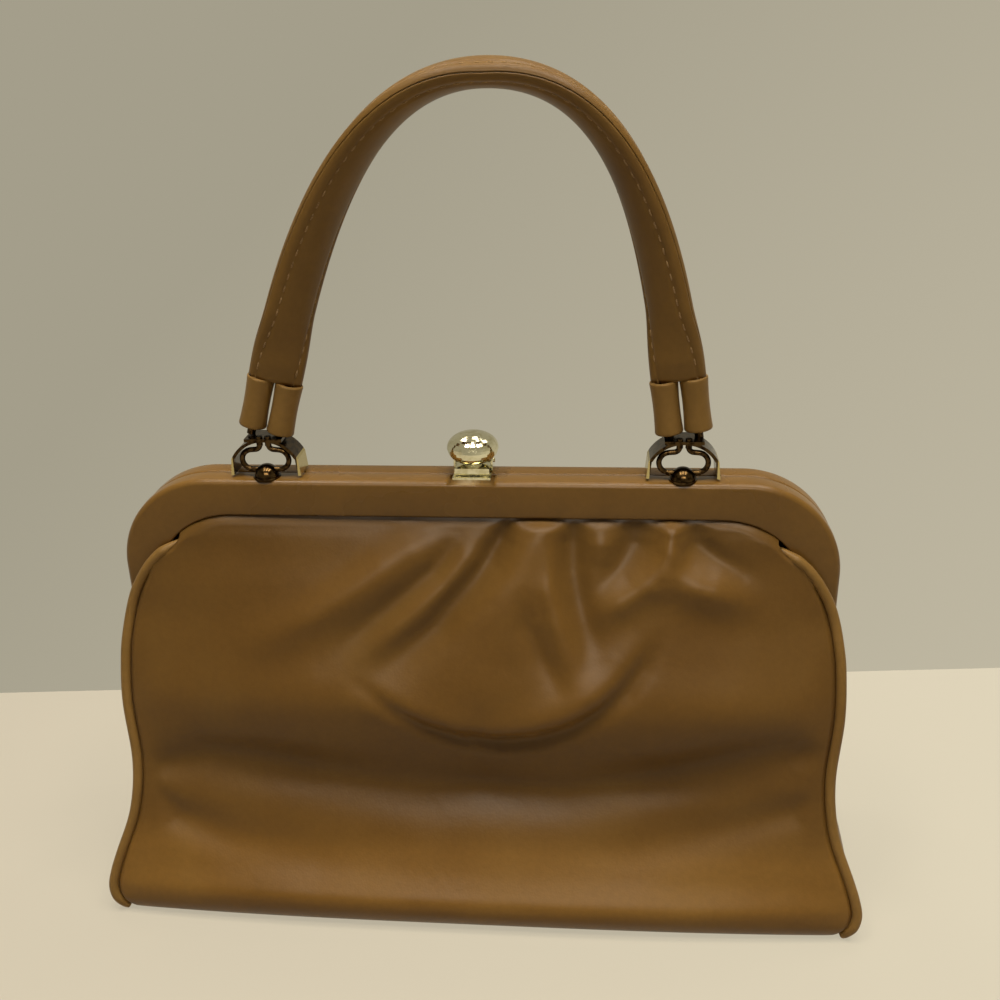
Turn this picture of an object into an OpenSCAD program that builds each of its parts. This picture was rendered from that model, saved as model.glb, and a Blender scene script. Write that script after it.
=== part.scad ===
// A leather frame handbag: two hinged frame halves, a soft gathered body on a stiff base,
// one padded handle that hinges on two posts, and a domed clasp knob on a sprung lever.
// The front is -Y and up is +Z. The origin is the middle of the base, on the surface it stands on.

/* [Bag] */
// Height from the base to the top of the frame
bag_h = 175; // [160:1:190]
// Width between the side seams at the base
base_w = 293; // [280:1:306]
// Width between the side seams at the crease, a third of the way up
waist_w = 267; // [260:1:276]
// Depth between the side seams at the base
base_d = 90; // [80:1:100]
// Depth between the side seams at the crease
waist_d = 60; // [54:1:68]
// How far the panels swell past their side seams
panel_swell = 3; // [1:0.5:5]
// How far the gussets swell out at the crease
gusset_swell = 6.5; // [3:0.5:8]
// Thickness of the leather panels and gussets
panel_t = 1.8; // [1.2:0.1:2]
// Thickness of the fabric lining
lining_t = 0.6; // [0.4:0.1:0.8]
// Space between the leather and the lining
lining_gap = 0.9; // [0.7:0.1:1.2]
// Radius of the piping in the side seams
piping_r = 1.9; // [1.5:0.1:2.2]
// Thickness of the stiff board in the base
board_t = 2.4; // [1.6:0.2:3]
// Width of the flat pocket inside
pocket_w = 120; // [90:1:150]
// Height of the flat pocket inside
pocket_h = 58; // [45:1:62]

/* [Frame] */
// Width across the frame
frame_w = 271; // [264:0.2:278]
// Depth of one frame half, with its leather
half_d = 9.25; // [8.8:0.05:10]
// Space between the two halves when they are shut
part_gap = 0.5; // [0.4:0.1:0.8]
// Height of the frame's face
face_h = 14; // [13:0.5:15]
// Outer radius of the frame's corners
frame_r = 36; // [32:0.5:40]
// Height of the frame's hinge above the base, as a drop from the top
hinge_drop = 54; // [50:0.5:58]
// Thickness of the leather over the frame
cover_t = 1.2; // [1:0.1:1.4]
// Thickness of the steel channel
steel_t = 1; // [0.8:0.1:1.2]
// Radius of the cover's front top edge
edge_r = 2.2; // [1.5:0.1:3]
// Thickness of each hinge ear
ear_t = 1.5; // [1:0.1:1.8]
// Radius of the hinge ears' round ends
ear_r = 5; // [4:0.1:5.4]
// Radius of the hinge rivets
rivet_r = 1.5; // [1.2:0.1:1.8]

/* [Handle] */
// Distance between the two handle posts
post_span = 153.8; // [146:0.2:162]
// Height of the handle's top above the frame
handle_rise = 144; // [130:1:156]
// How far the arch's highest point stands right of the middle
handle_lean = 8; // [0:0.5:10]
// Width of the strap at the top of the arch
strap_w = 22; // [20.5:0.5:26]
// Width of the strap at its ends
strap_end_w = 19.6; // [18.6:0.2:20.4]
// Thickness of the strap at its middle
strap_t = 10; // [9:0.2:11]
// Thickness of the strap's two leather faces
strap_skin = 1.4; // [1:0.1:1.6]
// Radius of the rolled leather sleeves
sleeve_r = 5.2; // [4.8:0.1:5.4]
// Length of the rolled leather sleeves
sleeve_h = 19.5; // [16:0.5:24]
// Lean of the left pair of sleeves, in degrees
lean_left = 16; // [8:0.5:18]
// Lean of the right pair of sleeves, in degrees
lean_right = 8; // [4:0.5:14]

/* [Handle fittings] */
// Radius of the wire of the handle rings
wire_r = 1; // [0.8:0.05:1.1]
// Radius of the ring's round sides, to the middle of the wire
ring_bend_r = 3.8; // [3.4:0.1:4]
// Straight length of wire across the foot of the ring
ring_foot = 10; // [9.8:0.1:11]
// Height of the ring's foot above the frame
axle_rise = 3; // [2.7:0.1:3.3]
// Radius of the domed post that holds the ring's foot
post_r = 4.6; // [4:0.1:4.8]
// Width of the arched stirrup
stirrup_w = 26.6; // [24:0.2:28]
// Height of the stirrup
stirrup_h = 14.2; // [13.6:0.1:15]
// Depth of the stirrup's band
stirrup_d = 11; // [8:0.5:12]
// Thickness of the stirrup's band
stirrup_t = 1.2; // [1:0.1:1.5]

/* [Clasp] */
// Diameter of the domed knob
knob_d = 18.8; // [17:0.2:20]
// Height of the knob's upper dome
dome_h = 6.4; // [5:0.1:7.5]
// Height of the knob's lower cup
cup_h = 5.6; // [5:0.1:6.4]
// Width of the clasp's bracket
bracket_w = 14.6; // [13.4:0.1:15.6]
// Radius of the clasp's hinge pin
pin_r = 0.8; // [0.6:0.05:0.9]

/* [Hidden] */

// Colours of the finishes
tan = "#a9824e";
tan_edge = "#c19a68";
fabric = "#8d744f";
brass = "#d8c48a";
dark_brass = "#7a6544";
steel = "#9a9c9e";
board = "#b8a98c";

// Clearances between pieces
glue_gap = 0.05;
run_gap = 0.05;
seat_gap = 0.2;
sewn_gap = 0.35;
pocket_gap = 1.2;
body_gap = 0.5;

// Frame, worked out from the driving sizes
part_v = part_gap / 2;
front_v = part_v + half_d;
frame_hw = frame_w / 2;
inner_r = frame_r - face_h;
corner_x = frame_hw - frame_r;
corner_z = bag_h - frame_r;
hinge_z = bag_h - hinge_drop;
leg_mid_x = frame_hw - face_h / 2;
leg_end_z = hinge_z - 4;
notch_r = ear_r + 1.3;
slot_v0 = part_v + cover_t + steel_t + glue_gap;
slot_v1 = front_v - cover_t - steel_t - glue_gap;
lip_u = 1;
cover_back_u = 4;
ear_arm = 17;
ear_gap = 0.2;
bend_steps = 4;

// Body, worked out from the driving sizes
tuck = 3;
tuck_r = inner_r + tuck;
tuck_v = slot_v1 - 0.3;
side_top_z = bag_h - 25;
side_top_w = corner_x + sqrt(pow(tuck_r, 2) - pow(side_top_z - corner_z, 2));
cross_z = side_top_z - 2;
lip_clear = 0.4;
inside_w = frame_hw - face_h - 2.8;
z_step = bag_h / 175;

// Half width of the side seam at a height, as a table of heights and half widths
seam_w_pts = [[0, base_w / 2], [8 * z_step, base_w / 2 - 0.6], [24 * z_step, base_w / 2 - 4.4],
    [42 * z_step, waist_w / 2 + 2.2], [62 * z_step, waist_w / 2], [88 * z_step, waist_w / 2 + 2.1],
    [hinge_z - 8, waist_w / 2 + 2], [hinge_z + 2, frame_hw - 1.6], [hinge_z + 9, frame_hw - 4],
    [hinge_z + 15, frame_hw - 9], [hinge_z + 20, frame_hw - 13.5], [cross_z - 4, side_top_w - 1.9],
    [cross_z, side_top_w - 3], [side_top_z, side_top_w]];

// Half depth at the side seam, as a table of heights and half depths
seam_d_pts = [[0, base_d / 2 - 2], [8 * z_step, base_d / 2], [24 * z_step, base_d / 2 - 4],
    [42 * z_step, waist_d / 2 + 5], [62 * z_step, waist_d / 2], [88 * z_step, waist_d / 2 - 5],
    [hinge_z - 10, front_v + 9.5], [hinge_z + 2, front_v + 5.6], [hinge_z + 15, front_v + 3.8],
    [hinge_z + 20, front_v + 3.2], [side_top_z, tuck_v]];

// Half depth at the middle of a panel, before the swell, as a table of heights and half depths
mid_d_pts = [[0, base_d / 2 - 3], [3 * z_step, base_d / 2 - 0.5], [12 * z_step, base_d / 2 + 0.4],
    [28 * z_step, base_d / 2 - 6], [46 * z_step, waist_d / 2 + 2], [60 * z_step, waist_d / 2 - 2.8],
    [78 * z_step, waist_d / 2 - 1.2], [94 * z_step, waist_d / 2 - 1], [hinge_z - 10, waist_d / 2 - 4.5],
    [hinge_z + 14, front_v + 9],
    [bag_h - face_h - 8, front_v + 2.5], [bag_h, front_v - 2]];

// How far the gusset stands outside its seams at its middle, by height
gusset_pts = [[0, 0], [10 * z_step, gusset_swell * 0.4], [35 * z_step, gusset_swell * 0.8],
    [60 * z_step, gusset_swell], [82 * z_step, gusset_swell * 0.5], [100 * z_step, -1],
    [hinge_z, -7], [bag_h, -7]];
gusset_fold_z0 = leg_end_z + 1;
gusset_fold_z1 = leg_end_z - 20;
gusset_top_z = side_top_z - 2;

// The main folds of a panel, from the gathers under the frame down to the swag. Each is a bent line of
// places across and up, with the fold's width and its height, which is below zero for a valley.
folds = [
    [[-3, 160, 7, 1.8], [-15, 151, 7, 2.6], [-34, 143, 8, 2.8], [-57, 133, 10, 2.2], [-80, 124, 12, 0.6]],
    [[25, 163, 8, 3.2], [24, 150, 9, 3.4], [17, 135, 13, 3], [9, 120, 18, 2.2], [6, 104, 20, 1.2]],
    [[72, 163, 6, 3], [75, 149, 7, 2.6], [88, 145, 8, 3], [97, 142, 9, 2.4], [108, 136, 10, 0.4]],
    [[-30, 102, 9, 0.6], [-12, 93, 9, 2.2], [8, 89, 9, 2.8], [26, 89, 9, 2.8], [42, 96, 9, 2.2],
        [52, 109, 8, 0.8]],
    [[13, 163, 5, -3], [10, 154, 5, -3.2], [-3, 139, 5, -3], [-20, 119, 7, -1.8], [-43, 107, 8, -0.4]],
    [[-38, 99, 4, -0.4], [-10, 86, 6, -2.2], [3, 81, 6, -2.6], [27, 79, 6, -2.6], [40, 83, 6, -2.2],
        [58, 102, 6, -2], [69, 128, 6, -0.4]],
    [[37, 163, 5, -3], [37, 142, 5, -2.8], [45, 118, 6, -1], [50, 107, 6, -0.2]],
    [[58, 163, 7, -2.6], [56, 150, 7, -2.6], [47, 132, 6, -0.3]]
];
fold_room = 2.8;
fold_foot_z0 = 66;
fold_foot_z1 = 86;
fold_edge = 14;
fold_hem = 8;
fold_crowd = 0.08;
fold_rows = 0.7;

// Handle and its fittings, worked out from the driving sizes
handle_y = 0;
axle_y = -(part_v + half_d / 2);
axle_z = bag_h + axle_rise;
ring_top_turn = 175;
ring_neck_r = 2;
ring_neck_x = 1.6;
ring_shoulder_x = ring_foot / 2 + ring_bend_r * sin(ring_top_turn);
ring_neck_in = ring_neck_r * (1 - cos(ring_top_turn - 90));
ring_slope = (ring_shoulder_x - ring_neck_in - ring_neck_x) / cos(180 - ring_top_turn);
ring_shoulder_z = ring_bend_r * (1 - cos(ring_top_turn)) + ring_slope * sin(ring_top_turn)
    + ring_neck_r * sin(ring_top_turn - 90);
stirrup_z0 = bag_h + 0.9;
stirrup_top = stirrup_z0 + stirrup_h;
stirrup_y0 = axle_y - wire_r - 0.4;
ring_neck = stirrup_top + 0.8 - axle_z - ring_shoulder_z;
collar_r = wire_r + 0.2;
collar_lap = 0.4;
sleeve_foot_z = stirrup_top + 2.2;
sleeve_x = sleeve_r + 0.05;
prong_r = 1.6;
crown_hw = sleeve_x + prong_r + 0.2;
prong_into_strap = 8;
strap_seat = sleeve_h + glue_gap;
left_end = [-post_span / 2 + strap_seat * sin(lean_left), sleeve_foot_z + strap_seat * cos(lean_left)];
right_end = [post_span / 2 - strap_seat * sin(lean_right), sleeve_foot_z + strap_seat * cos(lean_right)];
apex = [handle_lean, bag_h + handle_rise - strap_t / 2];
left_reach = 58;
right_reach = 58;
left_crown = 41;
right_crown = 43;
strap_steps = 32;
twist_power = 1.3;
core_gap = 0.15;
strap_lip = 1.5;

// Clasp, worked out from the driving sizes
bracket_t = 0.7;
bracket_y0 = part_v + 0.5;
bracket_y1 = front_v - 0.7;
pin_y = part_v + 6.4;
pin_z = bag_h + bracket_t + 2.3;
cheek_top = pin_z + 1.9;
lever_t = 1;
lever_z = pin_z - 0.6;
lever_y0 = -(part_v + 4);
lever_w = bracket_w - 2 * bracket_t - 2 * seat_gap;
knuckle_r = 1.7;
knuckle_l = 3.6;
knob_y = 1.5;
knob_lift = 0.6;
knob_z = lever_z + lever_t + knob_lift;
knob_neck_r = 3.2;
knob_t = 0.6;
rim_r = knob_d / 2;
catch_d = 6.2;
catch_w = bracket_w - 0.6;
catch_z0 = bag_h - cover_t;
catch_top = bag_h + 0.6;
catch_notch = 1.4;

// Small fixings
stem_r = 1.3;
stem_l = cover_t + steel_t + 2 * glue_gap + 1.2;
washer_t = 0.6;
small_rivet_r = 0.6;
stud_r = 1;
leaf_w = 3.6;
catch_rivet_places = [for (side = [-1, 1]) [side * (catch_w / 2 - 2), -(part_v + catch_d / 2 + 0.6)]];
bracket_rivet_places = [for (side = [-1, 1]) [side * (bracket_w / 2 - 2.6), part_v + 3]];
front_ear_x = leg_mid_x - ear_t - ear_gap / 2;
rear_ear_x = leg_mid_x + ear_gap / 2;

// A smooth value between 0 and 1
function ease(x) = let (t = min(1, max(0, x))) t * t * (3 - 2 * t);
function mix(a, b, t) = a + (b - a) * t;
function unit(v) = v / norm(v);

// The slope of a table at one of its rows, and the row that a value falls in
function slope_at(pts, i) = let (a = max(0, i - 1), b = min(len(pts) - 1, i + 1))
    (pts[b][1] - pts[a][1]) / (pts[b][0] - pts[a][0]);
function row_of(pts, x, i = 0) = (i >= len(pts) - 2 || x < pts[i + 1][0]) ? i : row_of(pts, x, i + 1);

// A table read as a smooth curve through its rows
function curve_at(pts, x) =
    let (i = row_of(pts, x), h = pts[i + 1][0] - pts[i][0])
    let (t = min(1, max(0, (x - pts[i][0]) / h)))
    let (m0 = slope_at(pts, i) * h, m1 = slope_at(pts, i + 1) * h)
    (2 * pow(t, 3) - 3 * t * t + 1) * pts[i][1] + (pow(t, 3) - 2 * t * t + t) * m0
    + (3 * t * t - 2 * pow(t, 3)) * pts[i + 1][1] + (pow(t, 3) - t * t) * m1;

function seam_w(z) = curve_at(seam_w_pts, z);
function seam_d(z) = curve_at(seam_d_pts, z);
function mid_d(z) = curve_at(mid_d_pts, z) + panel_swell;

// Height of a panel's tucked edge above the place x, inside the frame's channel
function tuck_z(x) = abs(x) < corner_x ? corner_z + tuck_r
    : corner_z + sqrt(max(0, pow(tuck_r, 2) - pow(abs(x) - corner_x, 2)));

// Height of the frame's inner edge above the place x
function lip_z(x) = abs(x) < corner_x ? corner_z + inner_r
    : corner_z + sqrt(max(0, pow(inner_r, 2) - pow(abs(x) - corner_x, 2)));

// Half depth of a panel at u, from -1 at one seam to 1 at the other, and height z
function panel_d(u, z) = mix(mid_d(z), seam_d(z), pow(min(1, abs(u)), 3));

// How far a place lies inside the frame's inner edge, as the front sees it
function in_mouth(x, z) = inner_r - norm([max(0, abs(x) - corner_x), max(0, z - corner_z)]);

// The nearest share of the way from one row of a fold to the next
function fold_share(x, z, a, b) = let (d = [b[0] - a[0], b[1] - a[1]])
    min(1, max(0, ((x - a[0]) * d[0] + (z - a[1]) * d[1]) / (d * d)));

// A fold seen from a place: the distance over its width and its height, at the nearest of its stretches
function fold_near(x, z, line) =
    let (seen = [for (i = [0:len(line) - 2])
        let (t = fold_share(x, z, line[i], line[i + 1]), q = mix(line[i], line[i + 1], t))
        [norm([x - q[0], z - q[1]]) / q[2], q[3]]])
    let (least = min([for (k = seen) k[0]]))
    [for (k = seen) if (k[0] == least) k][0];

// How far the folds stand out at a place. They fade at the side seams and at the base.
function fold_out(u, x, z) =
    let (near = [for (line = folds) fold_near(x, z / z_step, line)])
    ease((1 - abs(u)) * seam_w(z) / fold_edge) * ease(z / fold_hem)
    * ([for (k = near) k[1]] * [for (k = near) exp(-k[0] * k[0])]);

// The room that the lining leaves for the folds
function fold_clear(u, z) = fold_room * (1 - pow(min(1, abs(u)), 4))
    * ease((z / z_step - fold_foot_z0) / (fold_foot_z1 - fold_foot_z0));

// A point of a skin parallel to the front panel, off being how far it lies inside the leather's face
// and inset how far its sides stop short of the seams. It swells out once it has left the channel at
// the frame's lip, and at its sides it crosses in front of the frame's legs. A folded skin is the panel's.
function skin_point(u, z, off, inset, folded) =
    let (w = seam_w(min(z, side_top_z)), x = u * (w - inset))
    let (free = ease(max(in_mouth(x, z) - lip_clear, cross_z - z) / 6))
    let (more = folded ? fold_out(u, x, z) : -fold_clear(x / w, z))
    [x, -mix(tuck_v, panel_d(x / w, z) + more, free) + off, z];

// The first row is the tucked edge and the second lies at the lip. The rest bunch towards the top
// and bottom, and columns bunch towards the side seams, and where there are folds in the middle too.
function row_share(t) = (1 - cos(180 * t)) / 2;
function skin_u(t, folded) = sin(90 * (folded ? t - fold_crowd * sin(360 * t) : t));
function skin_z(u, t, z0, folded) =
    let (top = tuck_z(u * side_top_w), lip = min(top - 1, lip_z(u * (side_top_w - 2.4))))
    t <= 0 ? top : mix(lip, z0, folded ? mix(t, row_share(t), fold_rows) : row_share(t));
function skin_grid(rows, cols, off, inset, z0, folded = false) = [for (r = [0:rows]) [for (c = [0:cols])
    let (u = skin_u(2 * c / cols - 1, folded), share = max(0.0001, (r - 1) / (rows - 1)))
    skin_point(u, r == 0 ? tuck_z(u * side_top_w) : skin_z(u, share, z0, folded), off, inset, folded)]];

// A point of a skin parallel to the right gusset, v running from -1 at the front seam to 1 at the rear
function gusset_point(v, z, off) =
    let (out = ease((gusset_fold_z0 - z) / (gusset_fold_z0 - gusset_fold_z1)))
    let (swell = curve_at(gusset_pts, z) * (1 - v * v))
    [mix(inside_w, seam_w(z) + swell, out) - off, v * (seam_d(z) - panel_t - sewn_gap - off * 0.6), z];
function gusset_grid(rows, cols, off, z0) = [for (r = [0:rows]) [for (c = [0:cols])
    gusset_point(2 * c / cols - 1, mix(gusset_top_z, z0, r / rows), off)]];

// The two triangles of one square of a grid, a being its first corner and w the points in a row. The
// squares of the grid's second half are cut the other way, so that its two halves mirror each other.
function square_faces(a, w, second) = second ? [[a, a + 1, a + w], [a + 1, a + w + 1, a + w]]
    : [[a, a + 1, a + w + 1], [a, a + w + 1, a + w]];
function turned(face) = [face[0], face[2], face[1]];

// The faces of a slab whose outer side is one grid of points and whose inner side is another
function slab_faces(rows, cols) =
    let (w = cols + 1, n = (rows + 1) * (cols + 1))
    concat(
        [for (r = [0:rows - 1], c = [0:cols - 1]) each square_faces(r * w + c, w, c >= cols / 2)],
        [for (r = [0:rows - 1], c = [0:cols - 1], f = square_faces(n + r * w + c, w, c >= cols / 2)) turned(f)],
        [for (c = [0:cols - 1], k = [0, 1])
            k == 0 ? [c + 1, c, n + c] : [c + 1, n + c, n + c + 1]],
        [for (c = [0:cols - 1], k = [0, 1]) let (a = rows * w + c)
            k == 0 ? [a, a + 1, n + a + 1] : [a, n + a + 1, n + a]],
        [for (r = [0:rows - 1], k = [0, 1]) let (a = r * w)
            k == 0 ? [a, a + w, n + a + w] : [a, n + a + w, n + a]],
        [for (r = [0:rows - 1], k = [0, 1]) let (a = r * w + cols)
            k == 0 ? [a + w, a, n + a] : [a + w, n + a, n + a + w]]);

// A thin closed solid between two grids of points
module slab(outer, inner) {
    rows = len(outer) - 1;
    cols = len(outer[0]) - 1;
    points = concat([for (row = outer, p = row) p], [for (row = inner, p = row) p]);
    polyhedron(points, slab_faces(rows, cols), convexity = 8);
}

// A closed solid through a list of rings, each a list of as many points
module tube(rings) {
    n = len(rings[0]);
    last = (len(rings) - 1) * n;
    sides = [for (i = [0:len(rings) - 2], j = [0:n - 1], k = [0, 1])
        let (a = i * n + j, b = i * n + (j + 1) % n)
        k == 0 ? [a, a + n, b + n] : [a, b + n, b]];
    caps = [[for (j = [0:n - 1]) j], [for (j = [0:n - 1]) last + n - 1 - j]];
    polyhedron([for (ring = rings, p = ring) p], concat(sides, caps), convexity = 8);
}

// A flat shape drawn in the frame's section, u along its face and v back from the parting plane,
// carried along the front half's arch: two legs, two corners and the top bar
module frame_sweep() {
    for (side = [0, 1]) mirror([side, 0, 0]) {
        translate([corner_x, 0, corner_z]) rotate([90, 0, 0])
            rotate_extrude(angle = 90, $fn = 96) translate([inner_r, 0]) children();
        translate([corner_x + inner_r, 0, leg_end_z]) mirror([0, 1, 0])
            linear_extrude(corner_z - leg_end_z) children();
    }
    translate([-corner_x, 0, corner_z + inner_r]) rotate([0, -90, 180])
        linear_extrude(2 * corner_x) children();
}

// The points of a quarter round about a centre, from one angle to another
function bend(cu, cv, r, from, to) = [for (i = [0:bend_steps]) let (a = mix(from, to, i / bend_steps))
    [cu + r * cos(a), cv + r * sin(a)]];

module cover_section() {
    back_r = 0.8;
    polygon(concat(
        bend(0.8, front_v - 0.8, 0.8, 180, 90),
        bend(face_h - edge_r, front_v - edge_r, edge_r, 90, 0),
        bend(face_h - back_r, part_v + back_r, back_r, 0, -90),
        [[cover_back_u, part_v], [cover_back_u, part_v + cover_t],
            [face_h - cover_t, part_v + cover_t], [face_h - cover_t, front_v - cover_t],
            [0, front_v - cover_t]]));
}

module core_section() {
    u1 = face_h - cover_t - glue_gap;
    v0 = part_v + cover_t + glue_gap;
    v1 = front_v - cover_t - glue_gap;
    polygon([[lip_u, v1], [u1, v1], [u1, v0], [cover_back_u, v0], [cover_back_u, v0 + steel_t],
        [u1 - steel_t, v0 + steel_t], [u1 - steel_t, v1 - steel_t], [lip_u, v1 - steel_t]]);
}

// What is cut from both halves round a hinge, so that the ears can turn
module hinge_notch() {
    for (side = [-1, 1]) translate([side * leg_mid_x, 0, hinge_z]) {
        rotate([0, 90, 0]) cylinder(r = notch_r, h = face_h + 4, center = true, $fn = 64);
        translate([-face_h, -notch_r, -notch_r * 2]) cube([2 * face_h, 2 * notch_r, 2 * notch_r]);
    }
}

// One hinge ear: an arm inside the leg's channel and a round end about the hinge axis
module ear(x0, bore_r) {
    translate([x0, 0, 0]) difference() {
        union() {
            translate([0, 0, hinge_z]) rotate([0, 90, 0]) cylinder(r = ear_r, h = ear_t, $fn = 64);
            translate([0, -slot_v1 - 0.4, hinge_z]) cube([ear_t, slot_v1 - slot_v0 + 0.8, ear_arm]);
            translate([0, -slot_v1 - 0.4, hinge_z]) cube([ear_t, slot_v1 + 0.4, ear_r * 0.7]);
        }
        translate([-1, 0, hinge_z]) rotate([0, 90, 0]) cylinder(r = bore_r, h = ear_t + 2, $fn = 48);
        translate([-1, -slot_v1 * 2, hinge_z - 4]) cube([ear_t + 2, slot_v1, 4]);
    }
}

module half_cover() {
    difference() {
        frame_sweep() cover_section();
        hinge_notch();
    }
}

module half_core(ear_x, bore_r) {
    difference() {
        frame_sweep() core_section();
        hinge_notch();
    }
    for (side = [0, 1]) mirror([side, 0, 0]) ear(ear_x, bore_r);
}

// The holes for the posts' stems, through the front half's top
module stem_holes() {
    for (side = [-1, 1]) translate([side * post_span / 2, axle_y, bag_h - face_h])
        cylinder(r = stem_r + glue_gap, h = 2 * face_h, $fn = 48);
}

// The holes for rivets through a half's top, at the places given
module rivet_holes(places) {
    for (p = places) translate([p[0], p[1], bag_h - face_h])
        cylinder(r = small_rivet_r + glue_gap, h = 2 * face_h, $fn = 32);
}

module frame_front_core() {
    color(steel) difference() {
        half_core(front_ear_x, rivet_r);
        stem_holes();
        rivet_holes(catch_rivet_places);
    }
}

module frame_front_cover() {
    color(tan) difference() {
        half_cover();
        stem_holes();
        translate([-catch_w / 2 - catch_notch, -(part_v + catch_d + 2 * catch_notch), catch_z0])
            cube([catch_w + 2 * catch_notch, catch_d + 3 * catch_notch, face_h]);
    }
}

module frame_rear_core() {
    color(steel) difference() {
        mirror([0, 1, 0]) half_core(rear_ear_x, rivet_r + run_gap);
        rivet_holes(bracket_rivet_places);
    }
}

module frame_rear_cover() {
    color(tan) difference() {
        mirror([0, 1, 0]) half_cover();
        rivet_holes(bracket_rivet_places);
    }
}

// A rivet along X through both ears of a hinge, headed at each end
module hinge_rivet(side) {
    head_t = 0.9;
    x0 = front_ear_x - ear_gap / 2;
    x1 = rear_ear_x + ear_t + ear_gap / 2;
    color(steel) mirror([side < 0 ? 1 : 0, 0, 0]) translate([0, 0, hinge_z]) rotate([0, 90, 0]) {
        translate([0, 0, x0]) cylinder(r = rivet_r, h = x1 - x0, $fn = 48);
        translate([0, 0, x0 - head_t]) cylinder(r1 = rivet_r * 1.4, r2 = rivet_r * 2, h = head_t, $fn = 48);
        translate([0, 0, x1]) cylinder(r1 = rivet_r * 2, r2 = rivet_r * 1.4, h = head_t, $fn = 48);
    }
}

module frame_hinge_rivet_left() { hinge_rivet(-1); }
module frame_hinge_rivet_right() { hinge_rivet(1); }

// The front panel, and the rear one, which is its mirror image
module panel() {
    color(tan) slab(skin_grid(22, 32, 0, 0, 0, true), skin_grid(22, 32, panel_t, 0, 0, true));
}

module front_panel() { panel(); }
module rear_panel() { mirror([0, 1, 0]) panel(); }

module gusset(side) {
    color(tan) mirror([side < 0 ? 1 : 0, 0, 0])
        slab(gusset_grid(12, 8, 0, 0), gusset_grid(12, 8, panel_t, 0));
}

module gusset_left() { gusset(-1); }
module gusset_right() { gusset(1); }

module base_panel() {
    w = base_w - 2 * (panel_t + sewn_gap);
    d = base_d - 4 - 2 * (panel_t + sewn_gap);
    color(tan) translate([-w / 2, -d / 2, 0]) cube([w, d, panel_t]);
}

module base_board() {
    w = base_w - 2 * (panel_t + 5);
    d = base_d - 4 - 2 * (panel_t + 3);
    color(board) translate([-w / 2, -d / 2, panel_t + glue_gap]) cube([w, d, board_t]);
}

// Piping: a cord in a folded strip, sewn between a panel's side and the gusset
function piping_point(z) = [seam_w(z) + piping_r - 0.3, -seam_d(z) + piping_r * 0.6, z];
function piping_ring(z, n) =
    let (p = piping_point(z), t = unit(piping_point(z + 0.5) - piping_point(z - 0.5)))
    let (e1 = unit(cross(t, [0, 1, 0])), e2 = cross(t, e1))
    [for (j = [0:n - 1]) p + piping_r * (cos(360 * j / n) * e1 + sin(360 * j / n) * e2)];

module piping(side, back) {
    z0 = piping_r;
    z1 = hinge_z + 19;
    rings = 22;
    color(tan_edge) mirror([side < 0 ? 1 : 0, 0, 0]) mirror([0, back ? 1 : 0, 0])
        tube([for (i = [0:rings]) piping_ring(mix(z0, z1, row_share(i / rings)), 8)]);
}

module piping_front_left() { piping(-1, false); }
module piping_front_right() { piping(1, false); }
module piping_rear_left() { piping(-1, true); }
module piping_rear_right() { piping(1, true); }

// Lining: a fabric bag that hangs just inside the leather
lining_z0 = panel_t + board_t + lining_t + 3 * glue_gap;
lining_off = panel_t + lining_gap;
gusset_lining_off = lining_off + lining_gap;

module lining_skin() {
    color(fabric) slab(skin_grid(14, 18, lining_off, 8, lining_z0),
        skin_grid(14, 18, lining_off + lining_t, 8, lining_z0));
}

module lining_front() { lining_skin(); }
module lining_rear() { mirror([0, 1, 0]) lining_skin(); }

module lining_gusset(side) {
    color(fabric) mirror([side < 0 ? 1 : 0, 0, 0])
        slab(gusset_grid(12, 8, gusset_lining_off, lining_z0),
            gusset_grid(12, 8, gusset_lining_off + lining_t, lining_z0));
}

module lining_gusset_left() { lining_gusset(-1); }
module lining_gusset_right() { lining_gusset(1); }

module lining_base() {
    w = base_w - 2 * (panel_t + 4);
    d = base_d - 4 - 2 * (panel_t + 2);
    color(fabric) translate([-w / 2, -d / 2, panel_t + board_t + 2 * glue_gap]) cube([w, d, lining_t]);
}

// A flat open-topped pocket sewn to the front lining
module inner_pocket() {
    off = lining_off + lining_t + pocket_gap;
    rows = 6;
    cols = 8;
    z0 = hinge_z - 10 - pocket_h;
    function pocket_grid(more) = [for (r = [0:rows]) [for (c = [0:cols])
        let (x = pocket_w * (c / cols - 0.5), z = z0 + pocket_h * (1 - r / rows))
        let (u = x / seam_w(z))
        [x, -panel_d(u, z) + fold_clear(u, z) + off + more, z]]];
    color(fabric) slab(pocket_grid(0), pocket_grid(lining_t));
}

// A domed post on a round foot, bored along X for the ring's wire, its stem riveted through the frame
module handle_post(side) {
    foot_t = 0.8;
    dome = axle_rise + wire_r + 1.1;
    ball_r = (pow(post_r, 2) + pow(dome - foot_t, 2)) / (2 * (dome - foot_t));
    color(dark_brass) translate([side * post_span / 2, axle_y, bag_h]) difference() {
        union() {
            cylinder(r = post_r + 0.5, h = foot_t, $fn = 64);
            intersection() {
                translate([0, 0, dome - ball_r]) sphere(r = ball_r, $fn = 96);
                translate([0, 0, foot_t - 0.01]) cylinder(r = post_r + 1, h = dome, $fn = 64);
            }
            translate([0, 0, -stem_l]) cylinder(r = stem_r, h = stem_l + 0.01, $fn = 48);
        }
        translate([-post_r * 2, 0, axle_rise]) rotate([0, 90, 0])
            cylinder(r = wire_r + run_gap, h = post_r * 4, $fn = 48);
    }
}

module handle_post_left() { handle_post(-1); }
module handle_post_right() { handle_post(1); }

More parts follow.
